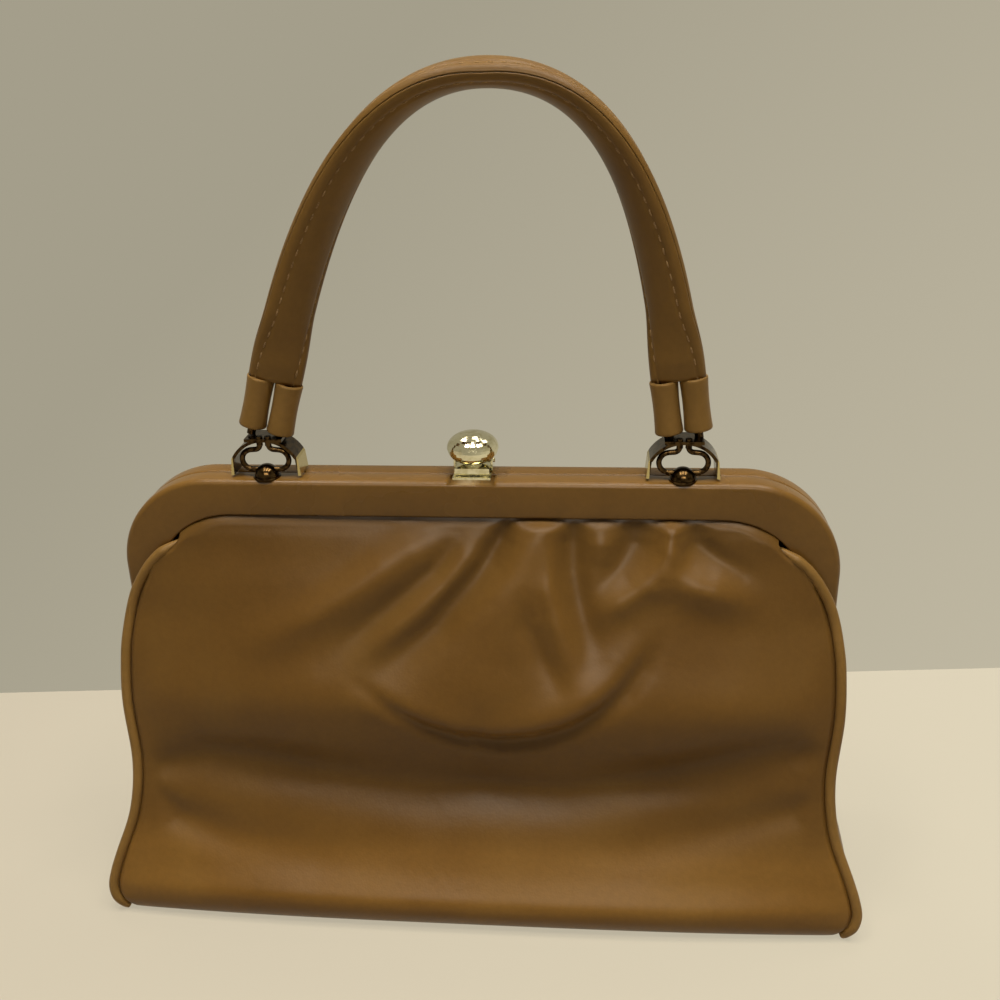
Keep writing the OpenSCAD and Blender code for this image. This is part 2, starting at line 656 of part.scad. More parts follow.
// The washer that the post's stem is spread over, inside the channel
module post_washer(side) {
    z1 = bag_h - cover_t - steel_t - 2 * glue_gap;
    color(steel) translate([side * post_span / 2, axle_y, z1 - washer_t]) difference() {
        cylinder(r = stem_r + 0.8, h = washer_t, $fn = 48);
        translate([0, 0, -1]) cylinder(r = stem_r + glue_gap / 2, h = washer_t + 2, $fn = 48);
    }
}

module post_washer_left() { post_washer(-1); }
module post_washer_right() { post_washer(1); }

// The catch: a bright strip let into the front half's leather, which the lever's lip reaches over
module clasp_catch() {
    color(brass) difference() {
        translate([-catch_w / 2, -(part_v + catch_d), catch_z0])
            cube([catch_w, catch_d, catch_top - catch_z0]);
        rivet_holes(catch_rivet_places);
    }
}

// Small rivets with flat heads, which stand a little proud of what they hold
module small_rivets(places, seat, depth) {
    for (p = places) translate([p[0], p[1], seat]) {
        cylinder(r = small_rivet_r * 1.8, h = 0.2, $fn = 32);
        translate([0, 0, -depth]) cylinder(r = small_rivet_r, h = depth + 0.01, $fn = 32);
    }
}

module catch_rivets() {
    color(brass) small_rivets(catch_rivet_places, catch_top, catch_top - catch_z0 + 1.5);
}

module bracket_rivets() {
    color(brass) small_rivets(bracket_rivet_places, bag_h + bracket_t, bracket_t + cover_t + steel_t + 0.5);
}

// The bracket: a plate on the rear half's top with two cheeks that hold the hinge pin
module clasp_bracket() {
    d = bracket_y1 - bracket_y0;
    color(brass) difference() {
        union() {
            translate([-bracket_w / 2, bracket_y0, bag_h]) cube([bracket_w, d, bracket_t]);
            for (x = [-bracket_w / 2, bracket_w / 2 - bracket_t]) translate([x, bracket_y0, bag_h])
                cube([bracket_t, d, cheek_top - bag_h]);
        }
        translate([-bracket_w, pin_y, pin_z]) rotate([0, 90, 0])
            cylinder(r = pin_r, h = 2 * bracket_w, $fn = 48);
        rivet_holes(bracket_rivet_places);
    }
}

module clasp_hinge_pin() {
    l = bracket_w + 0.8;
    color(brass) translate([-l / 2, pin_y, pin_z]) rotate([0, 90, 0]) cylinder(r = pin_r, h = l, $fn = 48);
}

// A leaf spring under the lever's tail, flat on the bracket in front and rising behind
module clasp_spring() {
    leaf_t = 0.25;
    z0 = bag_h + bracket_t + 0.25;
    rise = lever_z - z0 - leaf_t - glue_gap;
    y0 = bracket_y0 + 0.4;
    y1 = pin_y - knuckle_r - 0.2;
    color(steel) translate([-leaf_w / 2, 0, 0]) rotate([90, 0, 90]) linear_extrude(leaf_w)
        polygon([[y0, z0], [y1, z0], [bracket_y1 - 0.2, z0 + 0.2], [bracket_y1 - 0.2, z0 + 0.2 + leaf_t],
            [y1, z0 + leaf_t], [y0, z0 + leaf_t]]);
}

// The lever: a plate that turns on the pin, with a lip at the front and a seat for the knob
module clasp_lever() {
    color(brass) difference() {
        union() {
            translate([-lever_w / 2, lever_y0, lever_z]) cube([lever_w, pin_y - lever_y0, lever_t]);
            translate([-lever_w / 2, lever_y0, catch_top + body_gap * 0.7])
                cube([lever_w, 0.9, lever_z - catch_top]);
            translate([0, knob_y, lever_z]) cylinder(r = knob_neck_r, h = lever_t + knob_lift, $fn = 48);
            for (x = [-lever_w / 2, lever_w / 2 - knuckle_l]) translate([x, pin_y, pin_z])
                rotate([0, 90, 0]) cylinder(r = knuckle_r, h = knuckle_l, $fn = 48);
        }
        translate([-lever_w, pin_y, pin_z]) rotate([0, 90, 0])
            cylinder(r = pin_r + run_gap, h = 2 * lever_w, $fn = 48);
        translate([-lever_w / 2 + knuckle_l, pin_y - knuckle_r - 0.4, lever_z - 1])
            cube([lever_w - 2 * knuckle_l, 2 * knuckle_r + 1, lever_t + 2]);
        translate([0, knob_y, lever_z - 1]) cylinder(r = stud_r, h = lever_t + 3, $fn = 32);
    }
}

// The knob's lower cup, pressed from sheet: its wall curves out from the neck to the rim
module knob_cup() {
    function wall(in, steps) = [for (i = steps) let (a = 90 * i / 8)
        [knob_neck_r + (rim_r - knob_neck_r) * sin(a) - in * sin(a),
            cup_h - (cup_h - knob_t) * cos(a) + in * cos(a)]];
    color(brass) translate([0, knob_y, knob_z]) rotate_extrude($fn = 96)
        polygon(concat([[stud_r, 0], [knob_neck_r, 0]], wall(0, [0:8]), wall(knob_t, [8:-1:0]),
            [[stud_r, 2 * knob_t]]));
}

// The knob's upper dome, a hollow cap that is closed over the cup's rim
module knob_dome() {
    function cap(r, h, steps) = [for (i = steps) let (a = 90 * i / 10)
        [r * cos(a), cap_edge + (h - cap_edge) * sin(a)]];
    cap_edge = 0.4;
    color(brass) translate([0, knob_y, knob_z + cup_h + glue_gap]) rotate_extrude($fn = 96)
        polygon(concat([[rim_r + 0.2, 0]], cap(rim_r + 0.2, dome_h, [0:10]),
            cap(rim_r - knob_t, dome_h - knob_t, [10:-1:0]), [[rim_r - knob_t, 0]]));
}

// The stud that holds the knob's cup to the lever, headed inside the cup and spread under the plate
module knob_stud() {
    color(brass) translate([0, knob_y, lever_z]) {
        cylinder(r = stud_r, h = knob_z - lever_z + 2 * knob_t, $fn = 32);
        translate([0, 0, knob_z - lever_z + 2 * knob_t])
            cylinder(r1 = stud_r * 1.7, r2 = stud_r, h = 0.8, $fn = 32);
        translate([0, 0, -0.5]) cylinder(r = stud_r * 1.6, h = 0.5, $fn = 32);
    }
}

// A length of wire laid as straights and bends, each starting where the last ended, along +X first,
// and closed with a soldered collar
module wire(path, i = 0) {
    if (i < len(path)) {
        step = path[i];
        if (step[0] == "collar") {
            rotate([0, 90, 0]) translate([0, 0, -collar_lap])
                cylinder(r = collar_r, h = step[1] + collar_lap, $fn = 32);
        } else if (step[0] == "go") {
            rotate([0, 90, 0]) cylinder(r = wire_r, h = step[1], $fn = 32);
            translate([step[1], 0, 0]) wire(path, i + 1);
        } else {
            turn = step[2];
            way = turn > 0 ? 1 : -1;
            translate([0, 0, way * step[1]]) rotate([90, 0, 0]) rotate([0, 0, way > 0 ? -90 : 90 + turn])
                rotate_extrude(angle = abs(turn), $fn = 64)
                    translate([step[1], 0]) circle(r = wire_r, $fn = 32);
            translate([step[1] * sin(abs(turn)), 0, way * step[1] * (1 - cos(turn))])
                rotate([0, -turn, 0]) wire(path, i + 1);
        }
    }
}

ring_path = [["go", ring_foot / 2], ["bend", ring_bend_r, ring_top_turn], ["go", ring_slope],
    ["bend", ring_neck_r, 90 - ring_top_turn], ["collar", ring_neck]];

module handle_ring(side) {
    color(dark_brass) translate([side * post_span / 2, axle_y, axle_z])
        for (half = [0, 1]) mirror([half, 0, 0]) wire(ring_path);
}

module handle_ring_left() { handle_ring(-1); }
module handle_ring_right() { handle_ring(1); }

// The arched stirrup over the ring, with a prong for each sleeve and holes for the ring's two ends
module stirrup(side, lean) {
    foot_z = 6.4;
    prong_low = 3.4;
    arch_r = (pow(stirrup_w / 2 - 0.7, 2) + pow(stirrup_h - foot_z, 2)) / (2 * (stirrup_h - foot_z));
    color(dark_brass) translate([side * post_span / 2, 0, 0]) difference() {
        union() {
            translate([0, stirrup_y0, stirrup_z0]) rotate([90, 0, 0]) mirror([0, 0, 1])
                linear_extrude(stirrup_d) difference() {
                    stirrup_outline(0, foot_z, arch_r);
                    stirrup_outline(stirrup_t, foot_z, arch_r);
                }
            for (x = [-sleeve_x, sleeve_x])
                translate([0, handle_y, sleeve_foot_z]) rotate([0, -side * lean, 0])
                    translate([x, 0, -prong_low])
                        cylinder(r = prong_r, h = prong_low + sleeve_h + prong_into_strap, $fn = 48);
            translate([-crown_hw, stirrup_y0, stirrup_top - stirrup_t])
                cube([2 * crown_hw, stirrup_d, stirrup_t]);
        }
        for (x = [-ring_neck_x, ring_neck_x]) translate([x, axle_y, stirrup_top - 2 * stirrup_t])
            cylinder(r = collar_r + glue_gap / 2, h = 3 * stirrup_t, $fn = 32);
    }
}

// The stirrup's outline, drawn in by a wall's thickness: an arc over two legs that spread a little
module stirrup_outline(wall, foot_z, arch_r) {
    half = stirrup_w / 2 - wall;
    intersection() {
        union() {
            intersection() {
                translate([0, stirrup_h - arch_r]) circle(r = arch_r - wall, $fn = 96);
                translate([-half, foot_z]) square([2 * half, stirrup_h]);
            }
            polygon([[-half, 0], [half, 0], [half - 0.7, foot_z + 0.1], [0.7 - half, foot_z + 0.1]]);
            if (wall > 0) translate([-half, -1]) square([2 * half, 1.2]);
        }
        translate([-half, -1]) square([2 * half, stirrup_h + 2]);
    }
}

module stirrup_left() { stirrup(-1, lean_left); }
module stirrup_right() { stirrup(1, lean_right); }

// A sleeve of rolled leather on one prong, its ends cut square with softened edges
module sleeve(side, lean, x) {
    c = 0.5;
    color(tan) translate([side * post_span / 2, handle_y, sleeve_foot_z]) rotate([0, -side * lean, 0])
        translate([x, 0, 0]) rotate_extrude($fn = 64)
            polygon([[prong_r + glue_gap / 2, 0], [sleeve_r - c, 0], [sleeve_r, c], [sleeve_r, sleeve_h - c],
                [sleeve_r - c, sleeve_h], [prong_r + glue_gap / 2, sleeve_h]]);
}

module sleeve_left_outer() { sleeve(-1, lean_left, -sleeve_x); }
module sleeve_left_inner() { sleeve(-1, lean_left, sleeve_x); }
module sleeve_right_inner() { sleeve(1, lean_right, -sleeve_x); }
module sleeve_right_outer() { sleeve(1, lean_right, sleeve_x); }

// The strap's middle line: a curve up the left leg to the apex, and one down the right
function bezier(p, t) = pow(1 - t, 3) * p[0] + 3 * pow(1 - t, 2) * t * p[1]
    + 3 * (1 - t) * t * t * p[2] + pow(t, 3) * p[3];
function bezier_aim(p, t) = unit(pow(1 - t, 2) * (p[1] - p[0]) + 2 * (1 - t) * t * (p[2] - p[1])
    + t * t * (p[3] - p[2]));
left_path = [left_end, left_end + left_reach * [sin(lean_left), cos(lean_left)],
    apex - [left_crown, 0], apex];
right_path = [apex, apex + [right_crown, 0],
    right_end + right_reach * [-sin(lean_right), cos(lean_right)], right_end];
function strap_at(s) = s < 0 ? bezier(left_path, 1 + s) : bezier(right_path, s);
function strap_aim(s) = s < 0 ? bezier_aim(left_path, 1 + s) : bezier_aim(right_path, s);

// The strap's section at s, from -1 at the left end to 1 at the right: where its seam edge points,
// where its outer face points, and its half width. It turns a quarter round towards each end.
function strap_frame(s) =
    let (p = strap_at(s), aim = strap_aim(s), out = [-aim[1], 0, aim[0]])
    let (turn = 90 * pow(abs(s), twist_power))
    [[p[0], handle_y, p[1]], cos(turn) * [0, -1, 0] + sin(turn) * out,
        cos(turn) * out + sin(turn) * [0, 1, 0], mix(strap_w, strap_end_w, abs(s)) / 2];
function strap_point(f, a, h) = f[0] + a * f[1] + h * f[2];
function lens(x, t) = t * sqrt(max(0, 1 - x * x));

// A crescent of leather over one face of the strap, and the padding between the two
function face_ring(s, way) =
    let (f = strap_frame(s), w = f[3], n = 8)
    let (top = strap_t / 2 - strap_lip, low = top - strap_skin)
    let (outside = [for (i = [0:n]) let (x = 1 - 2 * i / n) [x * w, strap_lip + lens(x, top)]])
    let (inside = [for (i = [0:n / 2]) let (x = -0.86 + 1.72 * i / (n / 2))
        [x * w, strap_lip - 0.4 + lens(x, low)]])
    [for (q = concat(outside, [[-w, core_gap]], inside, [[w, core_gap]]))
        strap_point(f, way * q[0], way * q[1])];
function core_ring(s) =
    let (f = strap_frame(s), w = f[3] - 2.2, n = 10, h = strap_t / 2 - strap_skin - core_gap - 0.6)
    [for (i = [0:n - 1]) let (a = 360 * i / n) strap_point(f, w * cos(a), h * sin(a))];

// Steps along the strap, from its left end to its right
function strap_s(i) = 2 * i / strap_steps - 1;

module handle_core() {
    color(board) tube([for (i = [0:strap_steps]) core_ring(strap_s(i))]);
}

module handle_outer_leather() {
    color(tan) tube([for (i = [0:strap_steps]) face_ring(strap_s(i), 1)]);
}

module handle_inner_leather() {
    color(tan) tube([for (i = [0:strap_steps]) face_ring(strap_s(i), -1)]);
}

frame_front_core();
frame_front_cover();
frame_hinge_rivet_left();
frame_hinge_rivet_right();
front_panel();
rear_panel();
gusset_left();
gusset_right();
base_panel();
base_board();
piping_front_left();
piping_front_right();
piping_rear_left();
piping_rear_right();
lining_front();
lining_rear();
lining_gusset_left();
lining_gusset_right();
lining_base();
inner_pocket();
handle_post_left();
handle_post_right();
post_washer_left();
post_washer_right();
clasp_catch();
catch_rivets();
frame_rear_core();
frame_rear_cover();
clasp_bracket();
bracket_rivets();
clasp_hinge_pin();
clasp_spring();
clasp_lever();
knob_cup();
knob_dome();
knob_stud();
handle_ring_left();
handle_ring_right();
stirrup_left();
stirrup_right();
sleeve_left_outer();
sleeve_left_inner();
sleeve_right_inner();
sleeve_right_outer();
handle_core();
handle_outer_leather();
handle_inner_leather();
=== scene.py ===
"""A framed leather handbag: soft gathered body, covered frame, padded arched handle and domed clasp."""

import logging
from dataclasses import dataclass
from enum import Enum
from math import cos, pi, radians, sin

import bpy
import numpy as np
from mathutils import Matrix, Vector


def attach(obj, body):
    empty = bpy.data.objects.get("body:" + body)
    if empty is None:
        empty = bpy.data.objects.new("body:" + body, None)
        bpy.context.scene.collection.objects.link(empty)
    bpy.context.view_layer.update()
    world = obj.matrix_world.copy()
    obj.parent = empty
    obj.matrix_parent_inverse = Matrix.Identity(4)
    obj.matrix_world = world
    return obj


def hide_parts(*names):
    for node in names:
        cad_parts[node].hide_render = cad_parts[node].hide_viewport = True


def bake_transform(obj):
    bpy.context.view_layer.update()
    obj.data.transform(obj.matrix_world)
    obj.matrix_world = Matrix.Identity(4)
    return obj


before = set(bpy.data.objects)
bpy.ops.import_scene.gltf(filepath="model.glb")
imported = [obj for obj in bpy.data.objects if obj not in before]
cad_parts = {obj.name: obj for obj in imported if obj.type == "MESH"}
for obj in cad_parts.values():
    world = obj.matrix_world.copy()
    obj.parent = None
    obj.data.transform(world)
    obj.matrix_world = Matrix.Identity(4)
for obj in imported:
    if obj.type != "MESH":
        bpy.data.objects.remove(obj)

LOG = logging.getLogger("bag")
MM = 0.001
WAVE_SPAN = 0.314  # metres between the bands of a wave texture of scale 1
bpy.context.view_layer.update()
Tree = bpy.types.NodeTree
Source = bpy.types.NodeSocket | bpy.types.Node
Stops = tuple[tuple[float, str], ...]
Place = tuple[float, float, float]


class Body(Enum):
    """The rigid bodies that a piece may ride on."""

    FRONT = "front_half"
    REAR = "rear_half"
    CLASP = "clasp"
    HANDLE = "handle"


class Side(Enum):
    """The bag's left and right, as seen from the front."""

    LEFT = -1
    RIGHT = 1


# Materials


def linear(hex_colour: str) -> tuple[float, float, float, float]:
    """Turns an sRGB hex value into linear colour.

    Args:
        hex_colour: six hex digits with a leading #.

    Returns:
        The linear red, green and blue, and an alpha of 1.
    """
    parts = [int(hex_colour[i : i + 2], 16) / 255 for i in (1, 3, 5)]
    return (*[c / 12.92 if c <= 0.04045 else ((c + 0.055) / 1.055) ** 2.4 for c in parts], 1.0)


def add(tree: Tree, kind: str, settings: dict | None = None, stops: Stops = (),
        **links: Source) -> bpy.types.Node:
    """Adds one node with its settings and links.

    Args:
        tree: the node tree it goes into.
        kind: the node's type name after the word ShaderNode.
        settings: attributes of the node, or values of its inputs by name or number.
        stops: a ramp's colours in rising order, each as its place and its hex value.
        links: what feeds an input: a socket, or a node for its first output. The key is the input's name,
            with _ for a space, or n and its number.

    Returns:
        The new node.
    """
    node = tree.nodes.new("ShaderNode" + kind)
    for key, value in (settings or {}).items():
        if isinstance(key, int) or key in node.inputs:
            node.inputs[key].default_value = value
        else:
            setattr(node, key, value)
    if stops:
        elements = node.color_ramp.elements
        for element, (at, colour) in zip(elements, (stops[0], stops[-1])):
            element.position = at
            element.color = linear(colour)
        for at, colour in stops[1:-1]:
            elements.new(at).color = linear(colour)
    for key, source in links.items():
        is_number = key[0] == "n" and key[1:].isdigit()
        socket = source.outputs[0] if isinstance(source, bpy.types.Node) else source
        tree.links.new(socket, node.inputs[int(key[1:]) if is_number else key.replace("_", " ")])
    return node


def blank(name: str) -> tuple[bpy.types.Material, Tree]:
    """Makes an empty node material.

    Args:
        name: the material's name.

    Returns:
        The material and its node tree.
    """
    made = bpy.data.materials.new(name)
    made.use_nodes = True
    made.node_tree.nodes.clear()
    return made, made.node_tree


def finish_material(tree: Tree, shader: bpy.types.Node) -> None:
    """Joins a shader's first output to the material's surface.

    Args:
        tree: the material's tree.
        shader: the shader.
    """
    add(tree, "OutputMaterial", Surface=shader)


@dataclass(frozen=True)
class CalfLeather:
    """Drum-dyed calf leather with a waxed face: fine pores, slow colour change and a soft sheen.

    The pores are 0.9 mm apart where the real ones are about 0.3 mm, so that they show at all.
    """

    name: str
    colour: str
    worn: str
    deep: str
    roughness: float
    wrinkle_mm: float = 14.0
    wrinkle_depth: float = 0.0
    # how strongly the fold attribute paints shade into valleys and highlight onto ridges
    painted_fold_light: float = 0.0
    shine: float = 0.2
    cloud_mm: float = 60.0
    speck_mm: float = 2.2
    pore_mm: float = 0.9
    pore_depth: float = 0.05

    def make(self) -> bpy.types.Material:
        """Builds the material: a cloud of three tones, fine specks, and pores and creases in the bump.

        Where a piece carries the attribute fold, the colour is darker in its valleys, as painted shade, and
        paler on its ridges, as painted highlight.

        Returns:
            The material.
        """
        made, tree = blank(self.name)
        place = add(tree, "TexCoord").outputs["Object"]
        cloud = add(tree, "TexNoise", {"Scale": 1 / (self.cloud_mm * MM), "Detail": 4.0, "Roughness": 0.55},
                    Vector=place)
        stops = ((0.30, self.deep), (0.5, self.colour), (0.72, self.worn))
        tone = add(tree, "ValToRGB", None, stops, Fac=cloud)
        speck = add(tree, "TexNoise", {"Scale": 1 / (self.speck_mm * MM), "Detail": 2.0}, Vector=place)
        shade = add(tree, "MapRange", {"From Min": 0.3, "From Max": 0.7, "To Min": 0.96, "To Max": 1.04},
                    Value=speck)
        fold = add(tree, "Attribute", {"attribute_name": "fold"}).outputs["Fac"]
        # painted shade in the valleys and painted highlight on the ridges, scaled from the fold attribute
        wear_and_painted_light = add(tree, "Math", {"operation": "MULTIPLY_ADD", 1: self.painted_fold_light, 2: 1.0}, n0=fold)
        held = add(tree, "MapRange", {"From Min": 0.6, "From Max": 1.45, "To Min": 0.6, "To Max": 1.45},
                   Value=wear_and_painted_light)
        whole = add(tree, "Math", {"operation": "MULTIPLY"}, n0=held, n1=shade)
        colour = add(tree, "Mix", {"data_type": "RGBA", "blend_type": "MULTIPLY", 0: 1.0}, n6=tone, n7=whole)
        pores = add(tree, "TexVoronoi", {"Scale": 1 / (self.pore_mm * MM), "feature": "F1"}, Vector=place)
        relief = add(tree, "Bump", {"Strength": 0.35, "Distance": self.pore_depth * MM}, Height=pores)
        if self.wrinkle_depth:
            creased = {"Scale": 1 / (self.wrinkle_mm * MM), "Detail": 3.0, "Distortion": 0.6}
            creases = add(tree, "TexNoise", creased, Vector=place)
            relief = add(tree, "Bump", {"Strength": 0.6, "Distance": self.wrinkle_depth * MM},
                         Height=creases, Normal=relief)
        smooth, rough = self.roughness - 0.05, self.roughness + 0.07
        gloss = add(tree, "MapRange", {"From Min": 0.3, "From Max": 0.7, "To Min": smooth, "To Max": rough},
                    Value=cloud)
        surface = {"IOR": 1.5, "Specular IOR Level": self.shine, "Sheen Weight": 0.03, "Sheen Roughness": 0.5}
        shader = add(tree, "BsdfPrincipled", surface, Base_Color=colour.outputs[2], Roughness=gloss,
                     Normal=relief)
        finish_material(tree, shader)
        return made


@dataclass(frozen=True)
class PolishedMetal:
    """Plated and polished metal: fine wiping marks and a little tarnish that lies in patches."""

    name: str
    colour: str
    tarnish: str
    roughness: float
    patch_mm: float = 3.0
    mark_mm: float = 0.5
    mark_depth: float = 0.02
    bare: str = ""
    post_mm: float = 76.9
    bare_mm: float = 12.1

    def make(self) -> bpy.types.Material:
        """Builds the material: tarnish in patches, wiping marks in the roughness and the bump.

        With a bare colour, the metal is rubbed bare further than bare_mm to either side of a post.

        Returns:
            The material.
        """
        made, tree = blank(self.name)
        place = add(tree, "TexCoord").outputs["Object"]
        patch = add(tree, "TexNoise", {"Scale": 1 / (self.patch_mm * MM), "Detail": 3.0}, Vector=place)
        colour = add(tree, "ValToRGB", None, ((0.38, self.tarnish), (0.56, self.colour)), Fac=patch)
        if self.bare:
            across = add(tree, "SeparateXYZ", Vector=place)
            out = add(tree, "Math", {"operation": "ABSOLUTE"}, n0=across)
            past_post = add(tree, "Math", {"operation": "SUBTRACT", 1: self.post_mm * MM}, n0=out)
            gap = add(tree, "Math", {"operation": "ABSOLUTE"}, n0=past_post)
            wear_and_painted_light = add(tree, "Math", {"operation": "GREATER_THAN", 1: self.bare_mm * MM}, n0=gap)
            bare = {"data_type": "RGBA", 7: linear(self.bare)}
            colour = add(tree, "Mix", bare, n0=wear_and_painted_light, n6=colour).outputs[2]
        dull, bright = self.roughness * 1.5, self.roughness * 0.7
        gloss = add(tree, "MapRange", {"From Min": 0.3, "From Max": 0.7, "To Min": dull, "To Max": bright},
                    Value=patch)
        marks = add(tree, "TexNoise", {"Scale": 1 / (self.mark_mm * MM), "Detail": 2.0}, Vector=place)
        relief = add(tree, "Bump", {"Strength": 0.12, "Distance": self.mark_depth * MM}, Height=marks)
        shader = add(tree, "BsdfPrincipled", {"Metallic": 1.0}, Base_Color=colour, Roughness=gloss,
                     Normal=relief)
        finish_material(tree, shader)
        return made


@dataclass(frozen=True)
class WovenCloth:
    """Plain-woven cotton lining. Its threads are 0.8 mm apart, twice the real gap, so that they show."""

    name: str
    colour: str
    shadow: str
    thread_mm: float = 0.8
    thread_depth: float = 0.1

    def make(self) -> bpy.types.Material:
        """Builds the material: two crossed sets of bands for the threads.

        Returns:
            The material.
        """
        made, tree = blank(self.name)
        place = add(tree, "TexCoord").outputs["Object"]
        scale = WAVE_SPAN / (self.thread_mm * MM)
        bands = [add(tree, "TexWave", {"Scale": scale, "bands_direction": way}, Vector=place).outputs["Fac"]
                 for way in ("X", "Z")]
        weave = add(tree, "Math", {"operation": "MAXIMUM"}, n0=bands[0], n1=bands[1])
        tone = add(tree, "ValToRGB", None, ((0.0, self.shadow), (1.0, self.colour)), Fac=weave)
        relief = add(tree, "Bump", {"Strength": 0.4, "Distance": self.thread_depth * MM}, Height=weave)
        shader = add(tree, "BsdfPrincipled", {"Roughness": 0.85, "Sheen Weight": 0.2}, Base_Color=tone,
                     Normal=relief)
        finish_material(tree, shader)
        return made


@dataclass(frozen=True)
class MattFibre:
    """Pressed fibre, felt or spun thread: a matt mottled surface with short fibres in it."""

    name: str
    colour: str
    fleck: str
    fibre_mm: float = 1.2
    fibre_depth: float = 0.08

    def make(self) -> bpy.types.Material:
        """Builds the material: flecks of a second colour and a fibrous bump.

        Returns:
            The material.
        """
        made, tree = blank(self.name)
        place = add(tree, "TexCoord").outputs["Object"]
        fleck = add(tree, "TexNoise", {"Scale": 1 / (self.fibre_mm * MM), "Detail": 4.0}, Vector=place)
        tone = add(tree, "ValToRGB", None, ((0.35, self.fleck), (0.6, self.colour)), Fac=fleck)
        relief = add(tree, "Bump", {"Strength": 0.5, "Distance": self.fibre_depth * MM}, Height=fleck)
        shader = add(tree, "BsdfPrincipled", {"Roughness": 0.8}, Base_Color=tone, Normal=relief)
        finish_material(tree, shader)
        return made


def looked_at(tree: Tree) -> bpy.types.Node:
    """Gives 1 for the rays of the camera, of mirrors and of glass, and 0 for the rays that carry light.

    Args:
        tree: the node tree.

    Returns:
        The node whose first output it is.
    """
    rays = add(tree, "LightPath").outputs
    clear = add(tree, "Math", {"operation": "MAXIMUM"}, n0=rays["Is Glossy Ray"],
                n1=rays["Is Transmission Ray"])
    return add(tree, "Math", {"operation": "MAXIMUM"}, n0=rays["Is Camera Ray"], n1=clear)


@dataclass(frozen=True)
class PlainPaint:
    """Flat paint on the table, and a painted glow for what looks at it, brighter to the right as painted
    light.
    """

    name: str
    colour: str
    seen: str
    seen_right: str
    strength: float
    left: float = -0.35
    right: float = 0.4

    def make(self) -> bpy.types.Material:
        """Builds the paint: diffuse, mixed with a painted glow for the camera, mirrors and glass, brighter to
        the right.

        Returns:
            The material.
        """
        made, tree = blank(self.name)
        across = add(tree, "SeparateXYZ", Vector=add(tree, "TexCoord").outputs["Object"])
        # painted light: the glow grows brighter to the right
        share_right = add(tree, "MapRange", {"From Min": self.left, "From Max": self.right}, Value=across)
        matt = add(tree, "BsdfDiffuse", {"Color": linear(self.colour)})
        tone = add(tree, "ValToRGB", None, ((0.0, self.seen), (1.0, self.seen_right)), Fac=share_right)
        glow = add(tree, "Emission", Color=tone)
        share = add(tree, "Math", {"operation": "MULTIPLY", 1: self.strength}, n0=looked_at(tree))
        finish_material(tree, add(tree, "MixShader", Fac=share, n1=matt, n2=glow))
        return made


class Finishes:
    """Every finish on the object, each made once."""

    def __init__(self) -> None:
        """Makes the materials."""
        self.smooth = CalfLeather(
            "smooth_calf_leather", "#765522", "#7e5c27", "#6e4e1e", 0.27, shine=0.26).make()
        # the body's leather is painted about 15% darker than the frame's, as painted shade on its sloping
        # panels
        self.soft = CalfLeather(
            "soft_calf_leather_painted_darker", "#6b4c1d", "#725322", "#64461a", 0.37, 11.0, 0.2, painted_fold_light=0.045).make()
        self.piping = CalfLeather("rolled_calf_leather", "#83632f", "#8f6d38", "#765628", 0.42).make()
        self.strap = CalfLeather(
            "padded_calf_leather", "#745524", "#7e5e2b", "#6b4c20", 0.38, 8.0, 0.12).make()
        self.lining = WovenCloth("woven_cotton_lining", "#8f774e", "#6a5636").make()
        self.bright = PolishedMetal("polished_pale_brass", "#e2ddc0", "#cfc8a4", 0.08).make()
        self.aged = PolishedMetal(
            "aged_polished_brass", "#4b3a22", "#20150b", 0.17, patch_mm=1.4, bare="#c2b27e").make()
        self.steel = PolishedMetal("rolled_steel_strip", "#9b9c9c", "#7d7e7e", 0.35).make()
        self.felt = MattFibre("pressed_felt", "#b8a98c", "#a3946f").make()
        self.board = MattFibre("grey_fibreboard", "#b0a080", "#8d7d60", 2.0).make()
        self.thread = MattFibre("waxed_linen_thread", "#a08050", "#7c5e32", 0.5).make()


# Meshes


def is_inside_out(verts: np.ndarray, quads: np.ndarray) -> bool:
    """Says whether a closed mesh of quads has its faces pointing inwards, from the sign of its volume.

    Args:
        verts: N by 3 places.
        quads: M by 4 vertex numbers.

    Returns:
        True where the enclosed volume comes out negative.
    """
    centred = verts - verts.mean(0)
    a, b, c, d = (centred[quads[:, k]] for k in range(4))
    volume = np.einsum("ij,ij->i", a, np.cross(b, c)).sum() + np.einsum("ij,ij->i", a, np.cross(c, d)).sum()
    return volume < 0


def add_mesh(name: str, verts: np.ndarray, quads: np.ndarray,
             material: bpy.types.Material) -> bpy.types.Object:
    """Makes an object of a closed mesh of quads, its faces pointing out and shaded smooth.

    Args:
        name: the piece's name.
        verts: N by 3 places in millimetres.
        quads: M by 4 vertex numbers.
        material: its finish.

    Returns:
        The new object, in metres, at the origin.
    """
    if is_inside_out(verts, quads):
        quads = quads[:, ::-1]
    mesh = bpy.data.meshes.new(name)
    mesh.from_pydata((verts * MM).tolist(), [], quads.tolist())
    mesh.polygons.foreach_set("use_smooth", np.ones(len(quads), bool))
    mesh.materials.append(material)
    mesh.update()
    made = bpy.data.objects.new(name, mesh)
    bpy.context.scene.collection.objects.link(made)
    LOG.info("%s made", name)
    return made


def grid_quads(rows: int, cols: int, ring: bool = False, start: int = 0) -> np.ndarray:
    """Numbers the quads of a grid of points.

    Args:
        rows: how many rows of points.
        cols: how many points in a row.
        ring: whether each row closes on itself.
        start: the number of the grid's first point.

    Returns:
        M by 4 vertex numbers.
    """
    r = np.arange(rows - 1)[:, None] * cols
    c = np.arange(cols if ring else cols - 1)[None, :]
    n = (c + 1) % cols
    return (np.stack([r + c, r + cols + c, r + cols + n, r + n], -1) + start).reshape(-1, 4)


